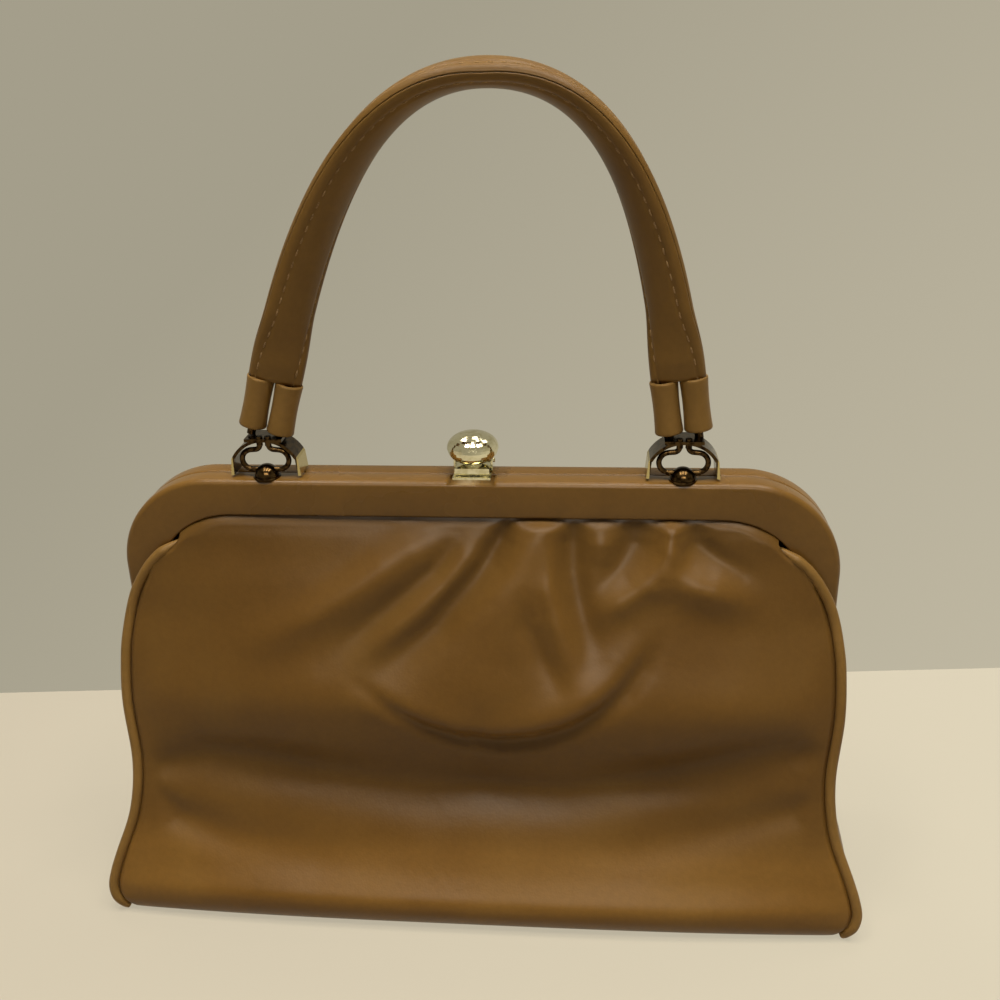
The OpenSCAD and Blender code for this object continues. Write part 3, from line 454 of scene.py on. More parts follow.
def slab(outer: np.ndarray, inner: np.ndarray) -> tuple[np.ndarray, np.ndarray]:
    """Closes two grids of points into one thin solid: both faces, and a rim of quads that joins them.

    Args:
        outer: rows by cols by 3 places.
        inner: as many places on the other side.

    Returns:
        The points and the quads.
    """
    rows, cols = outer.shape[:2]
    n = rows * cols
    edge = np.concatenate([np.arange(cols), np.arange(1, rows) * cols + cols - 1,
                           n - 2 - np.arange(cols - 1), (rows - 2 - np.arange(rows - 2)) * cols])
    ahead = np.roll(edge, -1)
    rim = np.stack([edge, ahead, ahead + n, edge + n], -1)
    quads = np.concatenate([grid_quads(rows, cols), grid_quads(rows, cols, start=n)[:, ::-1], rim])
    return np.concatenate([outer.reshape(-1, 3), inner.reshape(-1, 3)]), quads


def tube(rings: np.ndarray) -> tuple[np.ndarray, np.ndarray]:
    """Closes a list of rings into one solid, each end drawn in by three shrinking copies of its ring.

    Args:
        rings: rows by sides by 3 places.

    Returns:
        The points and the quads.
    """
    caps = []
    for ring in (rings[0], rings[-1]):
        middle = ring.mean(0)
        caps.append([middle + (ring - middle) * share for share in (0.9, 0.45, 0.02)])
    whole = np.concatenate([np.array(caps[0][::-1]), rings, np.array(caps[1])])
    sides = whole.shape[1]
    j = np.arange(0, sides // 2 - 1)
    end = np.stack([j, j + 1, (sides - 2 - j) % sides, (sides - 1 - j) % sides], -1)
    last = (len(whole) - 1) * sides
    quads = np.concatenate([grid_quads(len(whole), sides, ring=True), end[:, ::-1], end + last])
    return whole.reshape(-1, 3), quads


def sweep(path: np.ndarray, section: np.ndarray, side: np.ndarray, up: np.ndarray) -> np.ndarray:
    """Carries a section along a path.

    Args:
        path: rows by 3 places.
        section: sides by 2, or rows by sides by 2, offsets along side and up.
        side: rows by 3 unit directions.
        up: rows by 3 unit directions.

    Returns:
        Rows by sides by 3 places: path + side * first offset + up * second offset.
    """
    flat = np.broadcast_to(section, (len(path), *section.shape[-2:]))
    return path[:, None, :] + side[:, None, :] * flat[..., :1] + up[:, None, :] * flat[..., 1:]


def round_section(radius: float, sides: int) -> np.ndarray:
    """Gives the points of a circle as offsets, by radius times cosine and sine."""
    turn = np.linspace(0, 2 * pi, sides, endpoint=False)
    return radius * np.stack([np.cos(turn), np.sin(turn)], -1)


def aims(path: np.ndarray) -> np.ndarray:
    """Gives the unit direction of a path at each of its points, from the points on either side."""
    step = np.gradient(path, axis=0)
    return step / np.linalg.norm(step, axis=1, keepdims=True)


def ease(x: np.ndarray) -> np.ndarray:
    """Goes smoothly from 0 to 1 as x does, by 3x squared less 2x cubed."""
    t = np.clip(x, 0.0, 1.0)
    return t * t * (3 - 2 * t)


def bell(x: np.ndarray, middle: float, width: float, height: float) -> np.ndarray:
    """Gives a hump: its height times e to minus the square of the distance from its middle over its width."""
    return height * np.exp(-(((x - middle) / width) ** 2))


def mix(a: np.ndarray, b: np.ndarray, t: np.ndarray) -> np.ndarray:
    """Gives a where t is 0 and b where t is 1."""
    return a + (b - a) * t


def curve_at(table: np.ndarray, x: np.ndarray) -> np.ndarray:
    """Reads a table as a smooth curve: a cubic between rows, its slope at a row taken from the neighbours.

    Args:
        table: rows of a place and a value, the places rising.
        x: where to read it.

    Returns:
        The values there.
    """
    at, value = table[:, 0], table[:, 1]
    rows = np.arange(len(at))
    low, high = np.maximum(rows - 1, 0), np.minimum(rows + 1, len(at) - 1)
    slope = (value[high] - value[low]) / (at[high] - at[low])
    i = np.clip(np.searchsorted(at, x, side="right") - 1, 0, len(at) - 2)
    h = at[i + 1] - at[i]
    t = np.clip((x - at[i]) / h, 0, 1)
    return ((2 * t**3 - 3 * t**2 + 1) * value[i] + (t**3 - 2 * t**2 + t) * h * slope[i]
            + (3 * t**2 - 2 * t**3) * value[i + 1] + (t**3 - t**2) * h * slope[i + 1])


def near_line(x: np.ndarray, z: np.ndarray, line: np.ndarray) -> tuple[np.ndarray, np.ndarray]:
    """Measures a field of places against a bent line.

    Args:
        x: places across.
        z: places up.
        line: rows of x, z, a width and a height.

    Returns:
        The distance to the line over the width there, and the height there.
    """
    best = np.full(x.shape, 1e9)
    height = np.zeros(x.shape)
    for a, b in zip(line[:-1], line[1:]):
        step = b[:2] - a[:2]
        t = np.clip(((x - a[0]) * step[0] + (z - a[1]) * step[1]) / (step @ step), 0, 1)
        gap = np.hypot(x - a[0] - t * step[0], z - a[1] - t * step[1]) / mix(a[2], b[2], t)
        closer = gap < best
        best = np.where(closer, gap, best)
        height = np.where(closer, mix(a[3], b[3], t), height)
    return best, height


def carry(piece: bpy.types.Object, body: Body, node: str,
          hinge: dict[str, Place] | None = None) -> bpy.types.Object:
    """Fixes a piece to a body, or, given a hinge, leaves it unattached and bakes its place into its mesh;
    either way it hides the CAD node whose place it takes.

    Args:
        piece: the piece.
        body: the body it rides on.
        node: the CAD node whose place it takes.
        hinge: where it would bend between the front half and the rear half; only whether it is given is read.

    Returns:
        The piece.
    """
    if hinge:
        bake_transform(piece)
    else:
        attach(piece, body.value)
    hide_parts(node)
    return piece


# The bag's body


@dataclass(frozen=True)
class Shape:
    """The body's and frame's sizes in millimetres, and the curves that all its pieces share.

    The curves' tables have a row of a height and a value for each place where they were read. The panel comes
    out from under the mouth's edge over roll_w, and its folds over fold_w. Up to seam_leaves and folds_full
    above the hinge, both are full whatever the mouth's edge says.
    """

    bag_h: float = 175.0
    base_w: float = 293.0
    waist_w: float = 267.0
    base_d: float = 90.0
    waist_d: float = 60.0
    swell: float = 3.0
    gusset_swell: float = 6.5
    leather: float = 1.8
    piping_r: float = 1.9
    frame_hw: float = 135.5
    part_v: float = 0.25
    half_d: float = 9.25
    face_h: float = 14.0
    frame_r: float = 36.0
    mouth_r: float = 32.0
    hinge_z: float = 121.0
    cover_t: float = 1.2
    tuck: float = 3.0
    tuck_gap: float = 1.35
    mouth_out: float = 2.0
    seam_in: float = 18.0
    roll_hidden: float = 2.0
    roll_w: float = 5.0
    seam_leaves: float = 31.6
    leave_w: float = 3.6
    fold_hidden: float = 0.3
    fold_w: float = 4.0
    folds_full: float = 20.0
    full_w: float = 8.0

    @property
    def front_v(self) -> float:
        """How far the frame's face lies from the parting plane."""
        return self.part_v + self.half_d

    @property
    def inner_r(self) -> float:
        """Radius of the frame's inner corners."""
        return self.frame_r - self.face_h

    @property
    def corner(self) -> tuple[float, float]:
        """Middle of the frame's corner: how far out and how high."""
        return self.frame_hw - self.frame_r, self.bag_h - self.frame_r

    @property
    def tuck_v(self) -> float:
        """How far the tucked leather lies from the parting plane."""
        return self.front_v - self.cover_t - self.tuck_gap

    @property
    def tuck_r(self) -> float:
        """Radius of the tucked leather's edge at the frame's corners."""
        return self.inner_r + self.tuck

    @property
    def mouth(self) -> tuple[float, float]:
        """Middle of the mouth's corner, whose edge is rounder than the frame's: how far out and how high."""
        in_from_edge = self.face_h + self.mouth_r
        return self.frame_hw - in_from_edge + self.mouth_out, self.bag_h - in_from_edge

    @property
    def side_top(self) -> tuple[float, float]:
        """Top of the side seam, tucked behind the frame's face: how far out and how high."""
        return self.corner[0] + self.seam_in, self.corner[1] + np.sqrt(self.tuck_r**2 - self.seam_in**2)

    def seam_w(self, z: np.ndarray) -> np.ndarray:
        """Half width of the side seams at a height. They leave the mouth's corner and cross the legs."""
        top, z_top = self.side_top
        base, half, hw, hinge = self.base_w / 2, self.waist_w / 2, self.frame_hw, self.hinge_z
        return curve_at(np.array([
            [0, base - 7.5], [3, base - 4.6], [7, base - 2.2], [12, base - 1.2], [18, base - 2.4],
            [24, base - 4.4], [42, half + 2.2], [62, half], [88, half + 2.1], [hinge - 15, half + 1.7],
            [hinge - 6, half + 0.5], [hinge + 2, hw - 3.2],
            [hinge + 9, hw - 5.6], [hinge + 15, hw - 8.8], [hinge + 20, hw - 12.2], [hinge + 24, hw - 16.0],
            [hinge + 27.5, hw - 20.3], [hinge + 30, top - 4.9], [hinge + 32.5, top - 5.2], [z_top, top]]), z)

    def seam_d(self, z: np.ndarray) -> np.ndarray:
        """Half depth at the side seams at a height."""
        half, waist, hinge, face = self.base_d / 2, self.waist_d / 2, self.hinge_z, self.front_v
        return curve_at(np.array([
            [0, half - 3.5], [3, half - 1], [8, half], [24, half - 4], [42, waist + 5], [62, waist],
            [88, waist - 5], [hinge - 10, face + 9.5], [hinge + 2, face + 6.0], [hinge + 15, face + 4.6],
            [hinge + 24, face + 3.7], [hinge + 30, face + 3.2], [self.side_top[1], face + 2.8]]), z)

    def mid_d(self, z: np.ndarray) -> np.ndarray:
        """Half depth at the middle of a panel at a height."""
        half, waist, hinge, face = self.base_d / 2, self.waist_d / 2, self.hinge_z, self.front_v
        return self.swell + curve_at(np.array([
            [0, half - 4], [2, half - 2], [5, half - 0.2], [9, half + 0.5], [14, half - 0.4],
            [18, half - 2.6], [24, half - 6.1], [32, half - 10.1], [40, waist + 1.6], [48, waist - 1.4],
            [56, waist - 4.2], [64, waist - 4.8], [78, waist - 3.2], [94, waist - 3.4],
            [hinge - 10, waist - 6.8], [hinge + 2, waist - 10.2], [hinge + 14, face + 6.5],
            [hinge + 23, face + 2.9], [hinge + 32, face - 0.6], [hinge + 36, face - 2.6],
            [hinge + 40, face - 4.3], [self.bag_h, face - 5]]), z)

    def tuck_z(self, x: np.ndarray) -> np.ndarray:
        """Height of a panel's tucked edge above the place x."""
        out, high = self.corner
        return high + np.sqrt(np.maximum(0, self.tuck_r**2 - np.maximum(0, np.abs(x) - out) ** 2))

    def in_mouth(self, x: np.ndarray, z: np.ndarray) -> np.ndarray:
        """How far the place at x and z lies inside the mouth's edge, seen from the front."""
        out, high = self.mouth
        return self.mouth_r - np.hypot(np.maximum(0, np.abs(x) - out), np.maximum(0, z - high))

    def panel(self, u: np.ndarray, z: np.ndarray, relief: np.ndarray, off: float, inset: float) -> np.ndarray:
        """Gives places on the front panel or on a skin that lies inside it.

        The depth goes from the middle's to the seam's by the cube of u. The folds' relief is added to it and
        fades at the frame. At the mouth's edge the depth eases to that of the tucked leather, except near the
        seams, which leave the frame at its corner.

        Args:
            u: from -1 at the left seam to 1 at the right.
            z: heights.
            relief: how far the folds stand out.
            off: how far the skin lies inside the leather's face.
            inset: how far its sides stop short of the seams.

        Returns:
            Places with a last axis of x, y and z.
        """
        w = self.seam_w(np.minimum(z, self.side_top[1]))
        x = u * (w - inset)
        share = np.minimum(1, np.abs(x / w)) ** 3
        inside = self.in_mouth(x, z)
        below = self.hinge_z + self.seam_leaves - z
        out = np.maximum(ease((inside + self.roll_hidden) / self.roll_w), ease(below / self.leave_w))
        below = self.hinge_z + self.folds_full - z
        rise = np.maximum(ease((inside + self.fold_hidden) / self.fold_w), ease(below / self.full_w))
        depth = mix(self.mid_d(z), self.seam_d(z), share) + relief * rise
        return np.stack([x, -mix(self.tuck_v, depth, out) + off, np.broadcast_to(z, x.shape)], -1)


class Folds:
    """The folds of the soft panels, as bent lines with rows of x, z, width and height.

    Their points were picked on the photograph and carried onto the panel through the fitted camera. RIDGES
    stand out and VALLEYS go in. The last three valleys are the crease over the base and its two branches.
    LONG are the two broad bulges across the panel, one over the crease and one at the base's edge.
    """

    RIDGES = [
        [[-23, 149.1, 7, 2.4], [-33, 143.3, 7, 3.2], [-47, 133.8, 7, 3.2], [-61.2, 125.6, 7, 3.2],
         [-75.8, 118.7, 8, 2.4], [-90.5, 111, 10, 0.4]],
        [[-1.3, 145.7, 5, 1.6], [-13.1, 134.4, 5, 2.2], [-27.1, 122.5, 5.5, 1.8], [-39.2, 112.2, 6, 0.5]],
        [[25.5, 157.8, 7.5, 4.6], [23.8, 153.7, 8, 4.2], [19.6, 143.2, 11, 3.6], [12.6, 128.8, 16, 2.8],
         [5.4, 111.3, 20, 1.8]],
        [[29.3, 149.6, 3.2, 0.8], [28.9, 137.4, 3.6, 2.2], [31.9, 124.7, 4.2, 2.6], [36.3, 111.8, 5, 2],
         [40.6, 101.5, 5.5, 0.5]],
        [[47.1, 159.2, 5, 1.8], [47.6, 152.7, 5.5, 2.4], [47.3, 144.3, 6, 0.6]],
        [[73.3, 159.9, 3.4, 4.8], [73.2, 155.8, 4.2, 3.8], [72.8, 148.7, 6, 2.6], [71.9, 140.3, 8, 1.2]],
        [[71.7, 149.6, 5, 1.8], [64.2, 140, 6, 3.2], [54.4, 133, 6, 3], [46, 128, 6, 0.8]],
        [[75.3, 140.8, 6, 2], [82.3, 138.8, 7, 3.8], [89.3, 137.3, 7.5, 4], [97.7, 134.3, 8, 2.2],
         [105.5, 129.2, 9, 0.4]],
        [[-41.7, 95.6, 8, 0.8], [-21.7, 88.6, 8, 2.4], [2.3, 81.1, 8.5, 3], [16.8, 84.1, 8.5, 3.2],
         [31.3, 88.8, 8.5, 3.2], [45.6, 99.8, 8, 2.8], [56.9, 111.2, 8, 1.6], [63.8, 120.6, 8, 0.4]],
        [[75.8, 91.2, 14, 0.4], [97.1, 93.5, 16, 1.1], [115.6, 91.2, 14, 0.5]],
    ]
    VALLEYS = [
        [[13.6, 158.6, 2.6, 2], [11, 152.9, 4.2, 4.2], [6.5, 145.5, 5.2, 4.6], [0.3, 137.8, 5.6, 4.4],
         [-7.5, 129.9, 5.8, 4], [-13.1, 122.2, 6, 3.4], [-25.2, 112.8, 6.5, 2.4], [-41.5, 101.8, 8, 0.6]],
        [[-5.2, 153.1, 4, 0.6], [-14.1, 141.4, 4.2, 2.4], [-29, 129.8, 4.6, 2.6], [-41.1, 120.1, 5, 2],
         [-54.5, 109.2, 6, 0.5]],
        [[-41.6, 100.2, 3, 0.5], [-29.8, 90.8, 3.6, 2], [-17.9, 83.5, 3.8, 2.8], [-2, 77.4, 4, 3.2],
         [-1, 78.9, 4.2, 3.6], [9.3, 77, 4.4, 3.8], [24, 78.8, 4.4, 3.8], [38.6, 85.1, 4.2, 3.4],
         [48.6, 92, 4, 3.2], [57.1, 100, 4, 2.8], [63.3, 108.6, 4, 2.2], [68.8, 118.6, 4, 0.4]],
        [[37.3, 159.3, 4, 1.4], [37.3, 152.5, 5, 3.2], [37.4, 142.7, 5.2, 3.4], [39.3, 133.2, 4.8, 3],
         [43.3, 122, 4.6, 1.8], [46.9, 112.1, 5, 0.4]],
        [[19, 134.5, 3.6, 0.5], [20.9, 123.2, 3.8, 1.8], [25.8, 111.8, 3.8, 1.6], [31.3, 101.6, 4, 0.4]],
        [[60.4, 159, 6, 1.8], [59.8, 152.1, 7, 3.2], [55, 142.7, 5.5, 2.6], [48.1, 136, 5, 1.2],
         [43.2, 129.9, 5, 0.4]],
        [[81.9, 158.6, 5, 1.4], [83, 152.3, 5, 2.8], [89.8, 146.3, 5, 2.4], [99.6, 140.8, 5.5, 1.6],
         [108.2, 133.6, 7, 0.4]],
        [[-136.8, 54, 3.4, 1.6], [-126.5, 60.5, 6, 2.4], [-106.9, 65.6, 9, 3.2], [-86, 63.3, 11, 3],
         [-65.5, 58.1, 11, 2.8], [-44.7, 54.1, 10, 2.8], [-19.6, 51.5, 10, 3.2], [1.2, 52.5, 9, 3.6],
         [35.6, 51.6, 9, 3.2], [61.3, 56.1, 10, 3], [80.1, 61.5, 11, 3], [98.5, 68.8, 11, 3.2],
         [116.7, 73.7, 9, 3], [129.7, 72.7, 5, 2.2], [135.4, 70.2, 3.4, 1.4]],
        [[-128.3, 51.4, 3, 0.6], [-119.1, 40.4, 6, 2.2], [-95.9, 32.3, 8, 1.6], [-61.7, 27.7, 9, 1.2],
         [-32.2, 30.3, 9, 0.4]],
        [[35.8, 31.1, 9, 0.4], [61.7, 33.7, 9, 1.2], [93.4, 42.1, 8, 1.6], [121.2, 49.9, 6, 1.8],
         [133.1, 57, 3, 0.6]],
    ]
    LONG = [
        [[-128, 92, 14, 1.0], [-60, 93, 17, 3.2], [0, 95, 14, 1.6], [70, 90, 17, 3.0], [128, 93, 14, 1.0]],
        [[-140, 14, 5, 0.6], [-70, 14, 6, 1.2], [0, 12, 6, 1.0], [80, 13, 6, 1.2], [140, 15, 5, 0.6]],
    ]

    def relief(self, x: np.ndarray, z: np.ndarray, pleats: float) -> np.ndarray:
        """Adds up the folds: each is its height times e to minus the square of the distance over the width.

        Args:
            x: places across.
            z: places up.
            pleats: how strong the pleats and swags are, from 0 to 1.

        Returns:
            How far the leather stands out there.
        """
        x, z = np.broadcast_arrays(x, z)
        total = np.zeros(x.shape)
        swags, creases = self.VALLEYS[:-3], self.VALLEYS[-3:]
        for lines, sign in ((self.RIDGES, pleats), (swags, -pleats), (creases, -1.0), (self.LONG, 1.0)):
            for line in lines:
                gap, height = near_line(x, z, np.array(line, float))
                total += sign * height * np.exp(-(gap**2))
        return total


@dataclass
class SoftBody:
    """The leather body: two panels, two gussets, the base, four lengths of piping, lining and pocket.

    Each of the last three fields, the painted highlight along the base's edge, the painted shade under the
    frame and the gusset's pinch, is a height, a width and how strong it is.
    """

    shape: Shape
    finishes: Finishes
    grid: tuple[int, int] = (150, 230)
    cloth_grid: tuple[int, int] = (110, 150)
    rear_folds: float = 0.8
    seam_roll: float = 1.7
    seam_roll_w: float = 1.4
    roll_top: float = 31.0
    sewn_gap: float = 0.35
    edge_gap: float = 0.4
    board_top: float = 4.95
    cloth_t: float = 0.6
    cloth_inset: float = 8.0
    cloth_off: float = 2.7
    slack: float = 0.9
    ripple: float = 0.3
    ripple_w: float = 9.0
    # painted highlight along the base's rounded edge
    base_highlight: tuple[float, float, float] = (23, 14, 13.0)
    # painted shade just under the frame's edge
    shade: tuple[float, float, float] = (162, 11, 4.5)
    pinch: tuple[float, float, float] = (63, 7, -2.2)

    def heights(self, u: np.ndarray, share: np.ndarray, foot: float) -> np.ndarray:
        """Gives the heights of a panel's rows.

        Args:
            u: from -1 at the left seam to 1 at the right.
            share: from 0 at the tucked edge to 1 at the foot.
            foot: the foot's height.

        Returns:
            The heights.
        """
        top = self.shape.tuck_z(u * self.shape.side_top[0])
        return mix(top - self.edge_gap, foot, share)

    def folds_at(self, x: np.ndarray, z: np.ndarray, back: bool) -> np.ndarray:
        """Gives the height of the folds.

        Args:
            x: places across.
            z: places up.
            back: whether it is the rear panel, whose pleats are gentler.

        Returns:
            How far the leather stands out, fading over 12 mm at the seams and 8 mm at the foot.
        """
        inside = self.shape.seam_w(np.minimum(z, self.shape.side_top[1])) - np.abs(x)
        return Folds().relief(x, z, self.rear_folds if back else 1.0) * ease(inside / 12) * ease(z / 8)

    def skin(self, name: str, faces: tuple[np.ndarray, np.ndarray], back: bool,
             material: bpy.types.Material) -> bpy.types.Object:
        """Closes two grids into a thin piece.

        Args:
            name: the piece's name.
            faces: the outer and the inner grid, as places on the front.
            back: whether it is mirrored to the rear.
            material: its finish.

        Returns:
            The piece.
        """
        flip = [1, -1 if back else 1, 1]
        verts, quads = slab(faces[0] * flip, faces[1] * flip)
        return add_mesh(name, verts, quads, material)

    def panel(self, name: str, back: bool) -> bpy.types.Object:
        """Makes a panel as a slab over a grid, its face carrying the folds and rolling in at the seams.

        Its attribute fold is the folds' height, raised by a painted highlight along the base's edge and
        lowered by painted shade just under the frame.

        Args:
            name: the piece's name.
            back: whether it is the rear one.

        Returns:
            The piece.
        """
        rows, cols = self.grid
        u = np.sin(np.linspace(-pi / 2, pi / 2, cols))[None, :]
        z = self.heights(u, np.linspace(0, 1, rows)[:, None] ** 1.05, 0.0)
        x = u * self.shape.seam_w(np.minimum(z, self.shape.side_top[1]))
        relief = self.folds_at(x, z, back)
        from_seam = (1 - np.abs(u)) * self.shape.seam_w(z)
        on_seam = ease((self.shape.hinge_z + self.roll_top - z) / 4)
        roll = bell(from_seam, 0, self.seam_roll_w, -self.seam_roll) * on_seam
        face = self.shape.panel(u, z, relief + roll, 0.0, 0.0)
        inner = self.shape.panel(u, z, relief, self.shape.leather, 0.0)
        made = self.skin(name, (face, inner), back, self.finishes.soft)
        # painted highlight at the base's edge less painted shade under the frame, added to the fold tone
        wear_and_painted_light, shaded = bell(z, *self.base_highlight), bell(z, *self.shade)
        tone = np.tile((relief + (wear_and_painted_light - shaded)).ravel(), 2).astype(np.float32)
        made.data.attributes.new("fold", "FLOAT", "POINT").data.foreach_set("value", tone)
        return made

    def gusset(self, name: str, side: Side, off: float, foot: float,
               material: bpy.types.Material) -> bpy.types.Object:
        """Makes a gusset as a slab: it swells out below the hinge, with a pinch, and is folded in above it.

        Args:
            name: the piece's name.
            side: left or right.
            off: how far it lies inside the leather's face.
            foot: the height of its lower edge.
            material: its finish.

        Returns:
            The piece.
        """
        s = self.shape
        below_seam, fold_from, fold_to, frame_gap, seam_gap = 6, 3, 24, 2.8, 1
        v = np.linspace(-1, 1, 44)[None, :]
        z = np.linspace(s.side_top[1] - below_seam, foot, 90)[:, None] + 0 * v
        out = ease((s.hinge_z - fold_from - z) / (fold_to - fold_from))
        table = [[0, 0], [10, s.gusset_swell * 0.4], [35, s.gusset_swell * 0.8], [60, s.gusset_swell],
                 [82, s.gusset_swell * 0.5], [100, -1], [s.hinge_z, -7], [s.bag_h, -7]]
        bulge = (curve_at(np.array(table), z) + bell(z, *self.pinch)) * (1 - v * v)
        held = np.minimum(s.frame_hw - s.face_h - frame_gap, s.seam_w(z) - seam_gap)

        def face(inwards: float) -> np.ndarray:
            """Gives the gusset's places, a distance inside its face."""
            x = mix(held, s.seam_w(z) + bulge, out) - inwards
            y = v * (s.seam_d(z) - s.leather - self.sewn_gap - inwards * 0.6)
            return np.stack([side.value * x, y, z], -1)

        thick = s.leather if off == 0 else self.cloth_t
        return self.skin(name, (face(off), face(off + thick)), False, material)

    def piping(self, name: str, side: Side, back: bool) -> bpy.types.Object:
        """Makes a length of piping: a round welt beside a seam, that thins and dives behind the frame's edge.

        Args:
            name: the piece's name.
            side: left or right.
            back: whether it is a rear one.

        Returns:
            The piece.
        """
        s = self.shape
        top, dive_from, inwards, behind, down, sunk, thinner = 30.4, 25.5, 3.4, 4.6, 0.6, 0.3, 0.5
        z = mix(s.piping_r, s.hinge_z + top, (1 - np.cos(np.linspace(0, pi, 150))) / 2)
        path = np.stack([s.seam_w(z) + (s.piping_r - sunk), -s.seam_d(z) + s.piping_r * 0.6, z], -1)
        path = path * [side.value, -1 if back else 1, 1]
        dive = ease((z - s.hinge_z - dive_from) / (top - dive_from))[:, None]
        path = path + dive * [-side.value * inwards, -behind if back else behind, -down]
        along = aims(path)
        across = np.cross(along, np.array([0, 1.0, 0]))
        across /= np.linalg.norm(across, axis=1, keepdims=True)
        section = round_section(1.0, 20)[None] * (s.piping_r * (1 - thinner * dive))[..., None]
        verts, quads = tube(sweep(path, section, across, np.cross(along, across)))
        return add_mesh(name, verts, quads, self.finishes.piping)

    def flat_base(self, name: str, low: float, thick: float, short: float,
                  material: bpy.types.Material) -> bpy.types.Object:
        """Makes a flat layer of the base: a rectangle that is drawn in at its corners.

        It is drawn in by the corner cut times the 8th power of both shares of the way out.

        Args:
            name: the piece's name.
            low: the height of its underside.
            thick: its thickness.
            short: how far it stops short of the base's outline.
            material: its finish.

        Returns:
            The piece.
        """
        s = self.shape
        rows, cols, corner_cut, in_from_edge = 24, 60, 0.03, 2
        hw, hd = float(s.seam_w(np.array(0.0))) - short, s.base_d / 2 - in_from_edge - short
        a = np.linspace(-1, 1, cols)[None, :]
        b = np.linspace(-1, 1, rows)[:, None]
        corner = 1 - corner_cut * (a * b) ** 8
        low_face = np.stack([hw * a * corner, hd * b * corner, np.full((rows, cols), low)], -1)
        return self.skin(name, (low_face, low_face + [0, 0, thick]), False, material)

    def lining(self, name: str, back: bool) -> bpy.types.Object:
        """Makes a lining panel, hanging just inside the leather, along its folds and with a little slack.

        Args:
            name: the piece's name.
            back: whether it is the rear one.

        Returns:
            The piece.
        """
        rows, cols = self.cloth_grid
        u = np.sin(np.linspace(-pi / 2, pi / 2, cols))[None, :]
        z = self.heights(u, np.linspace(0, 1, rows)[:, None], self.board_top)
        x = u * (self.shape.seam_w(np.minimum(z, self.shape.side_top[1])) - self.cloth_inset)
        hang_from, hang_over = 150, 40
        hang = self.ripple * np.sin(x / self.ripple_w) - self.slack
        slack = self.folds_at(x, z, back) + hang * ease((hang_from - z) / hang_over)
        offs = (self.cloth_off, self.cloth_off + self.cloth_t)
        faces = [self.shape.panel(u, z, slack, off, self.cloth_inset) for off in offs]
        return self.skin(name, faces, back, self.finishes.lining)

    def pocket(self) -> bpy.types.Object:
        """Makes the flat pocket on the front lining, its mouth turned over in a thicker hem."""
        half_w, top, low, hem_z, hem_h, hem_t, off = 60, 111, 53, 108, 2.5, 0.35, 4.5
        x = np.linspace(-half_w, half_w, 60)[None, :]
        z = np.linspace(top, low, 40)[:, None] + 0 * x
        relief = self.folds_at(x, z, False) - self.slack
        outer = self.shape.panel(x / self.shape.seam_w(z), z, relief, off, 0.0)
        inner = outer + [0, self.cloth_t, 0]
        inner[..., 1] += hem_t * np.exp(-((z - hem_z) / hem_h) ** 6)
        return self.skin("lining_pocket", (outer, inner), False, self.finishes.lining)

    def build(self) -> None:
        """Makes every piece of the body; the rear pieces and the gussets get hinge places but are left
        unattached.
        """
        f, soft, cloth, welt = self.finishes, "soft_tan_leather", "lining_cloth", "piping_leather"
        bend = {"start": (0, 0, 0.100), "end": (0, 0, 0.136)}
        slant = {"start": (0, 0.0, 0.1360), "end": (0, 0.01212, 0.1570)}
        carry(self.panel("leather_front", False), Body.FRONT, "front_panel")
        carry(self.panel("leather_rear", True), Body.REAR, "rear_panel", bend)
        for side in Side:
            word = side.name.lower()
            gusset = self.gusset(f"leather_gusset_{word}", side, 0.0, 0.0, f.soft)
            carry(gusset, Body.REAR, f"gusset_{word}", slant)
            lining = self.gusset(f"cloth_gusset_{word}", side, 3.6, self.board_top, f.lining)
            carry(lining, Body.REAR, f"lining_gusset_{word}", slant)
            carry(self.piping(f"welt_front_{word}", side, False), Body.FRONT, f"piping_front_{word}")
            carry(self.piping(f"welt_rear_{word}", side, True), Body.REAR, f"piping_rear_{word}", bend)
        base = self.flat_base("leather_base", 0.0, self.shape.leather, 2.15, f.soft)
        carry(base, Body.FRONT, "base_panel")
        board = self.flat_base("stiff_board", 1.85, 2.4, 6.8, f.board)
        carry(board, Body.FRONT, "base_board")
        floor = self.flat_base("cloth_base", 4.3, self.cloth_t, 5.8, f.lining)
        carry(floor, Body.FRONT, "lining_base")
        lining = carry(self.lining("cloth_front", False), Body.FRONT, "lining_front")
        lining = carry(self.lining("cloth_rear", True), Body.REAR, "lining_rear", bend)
        pocket = carry(self.pocket(), Body.FRONT, "inner_pocket")
        LOG.info("body made")


# The frame's leather


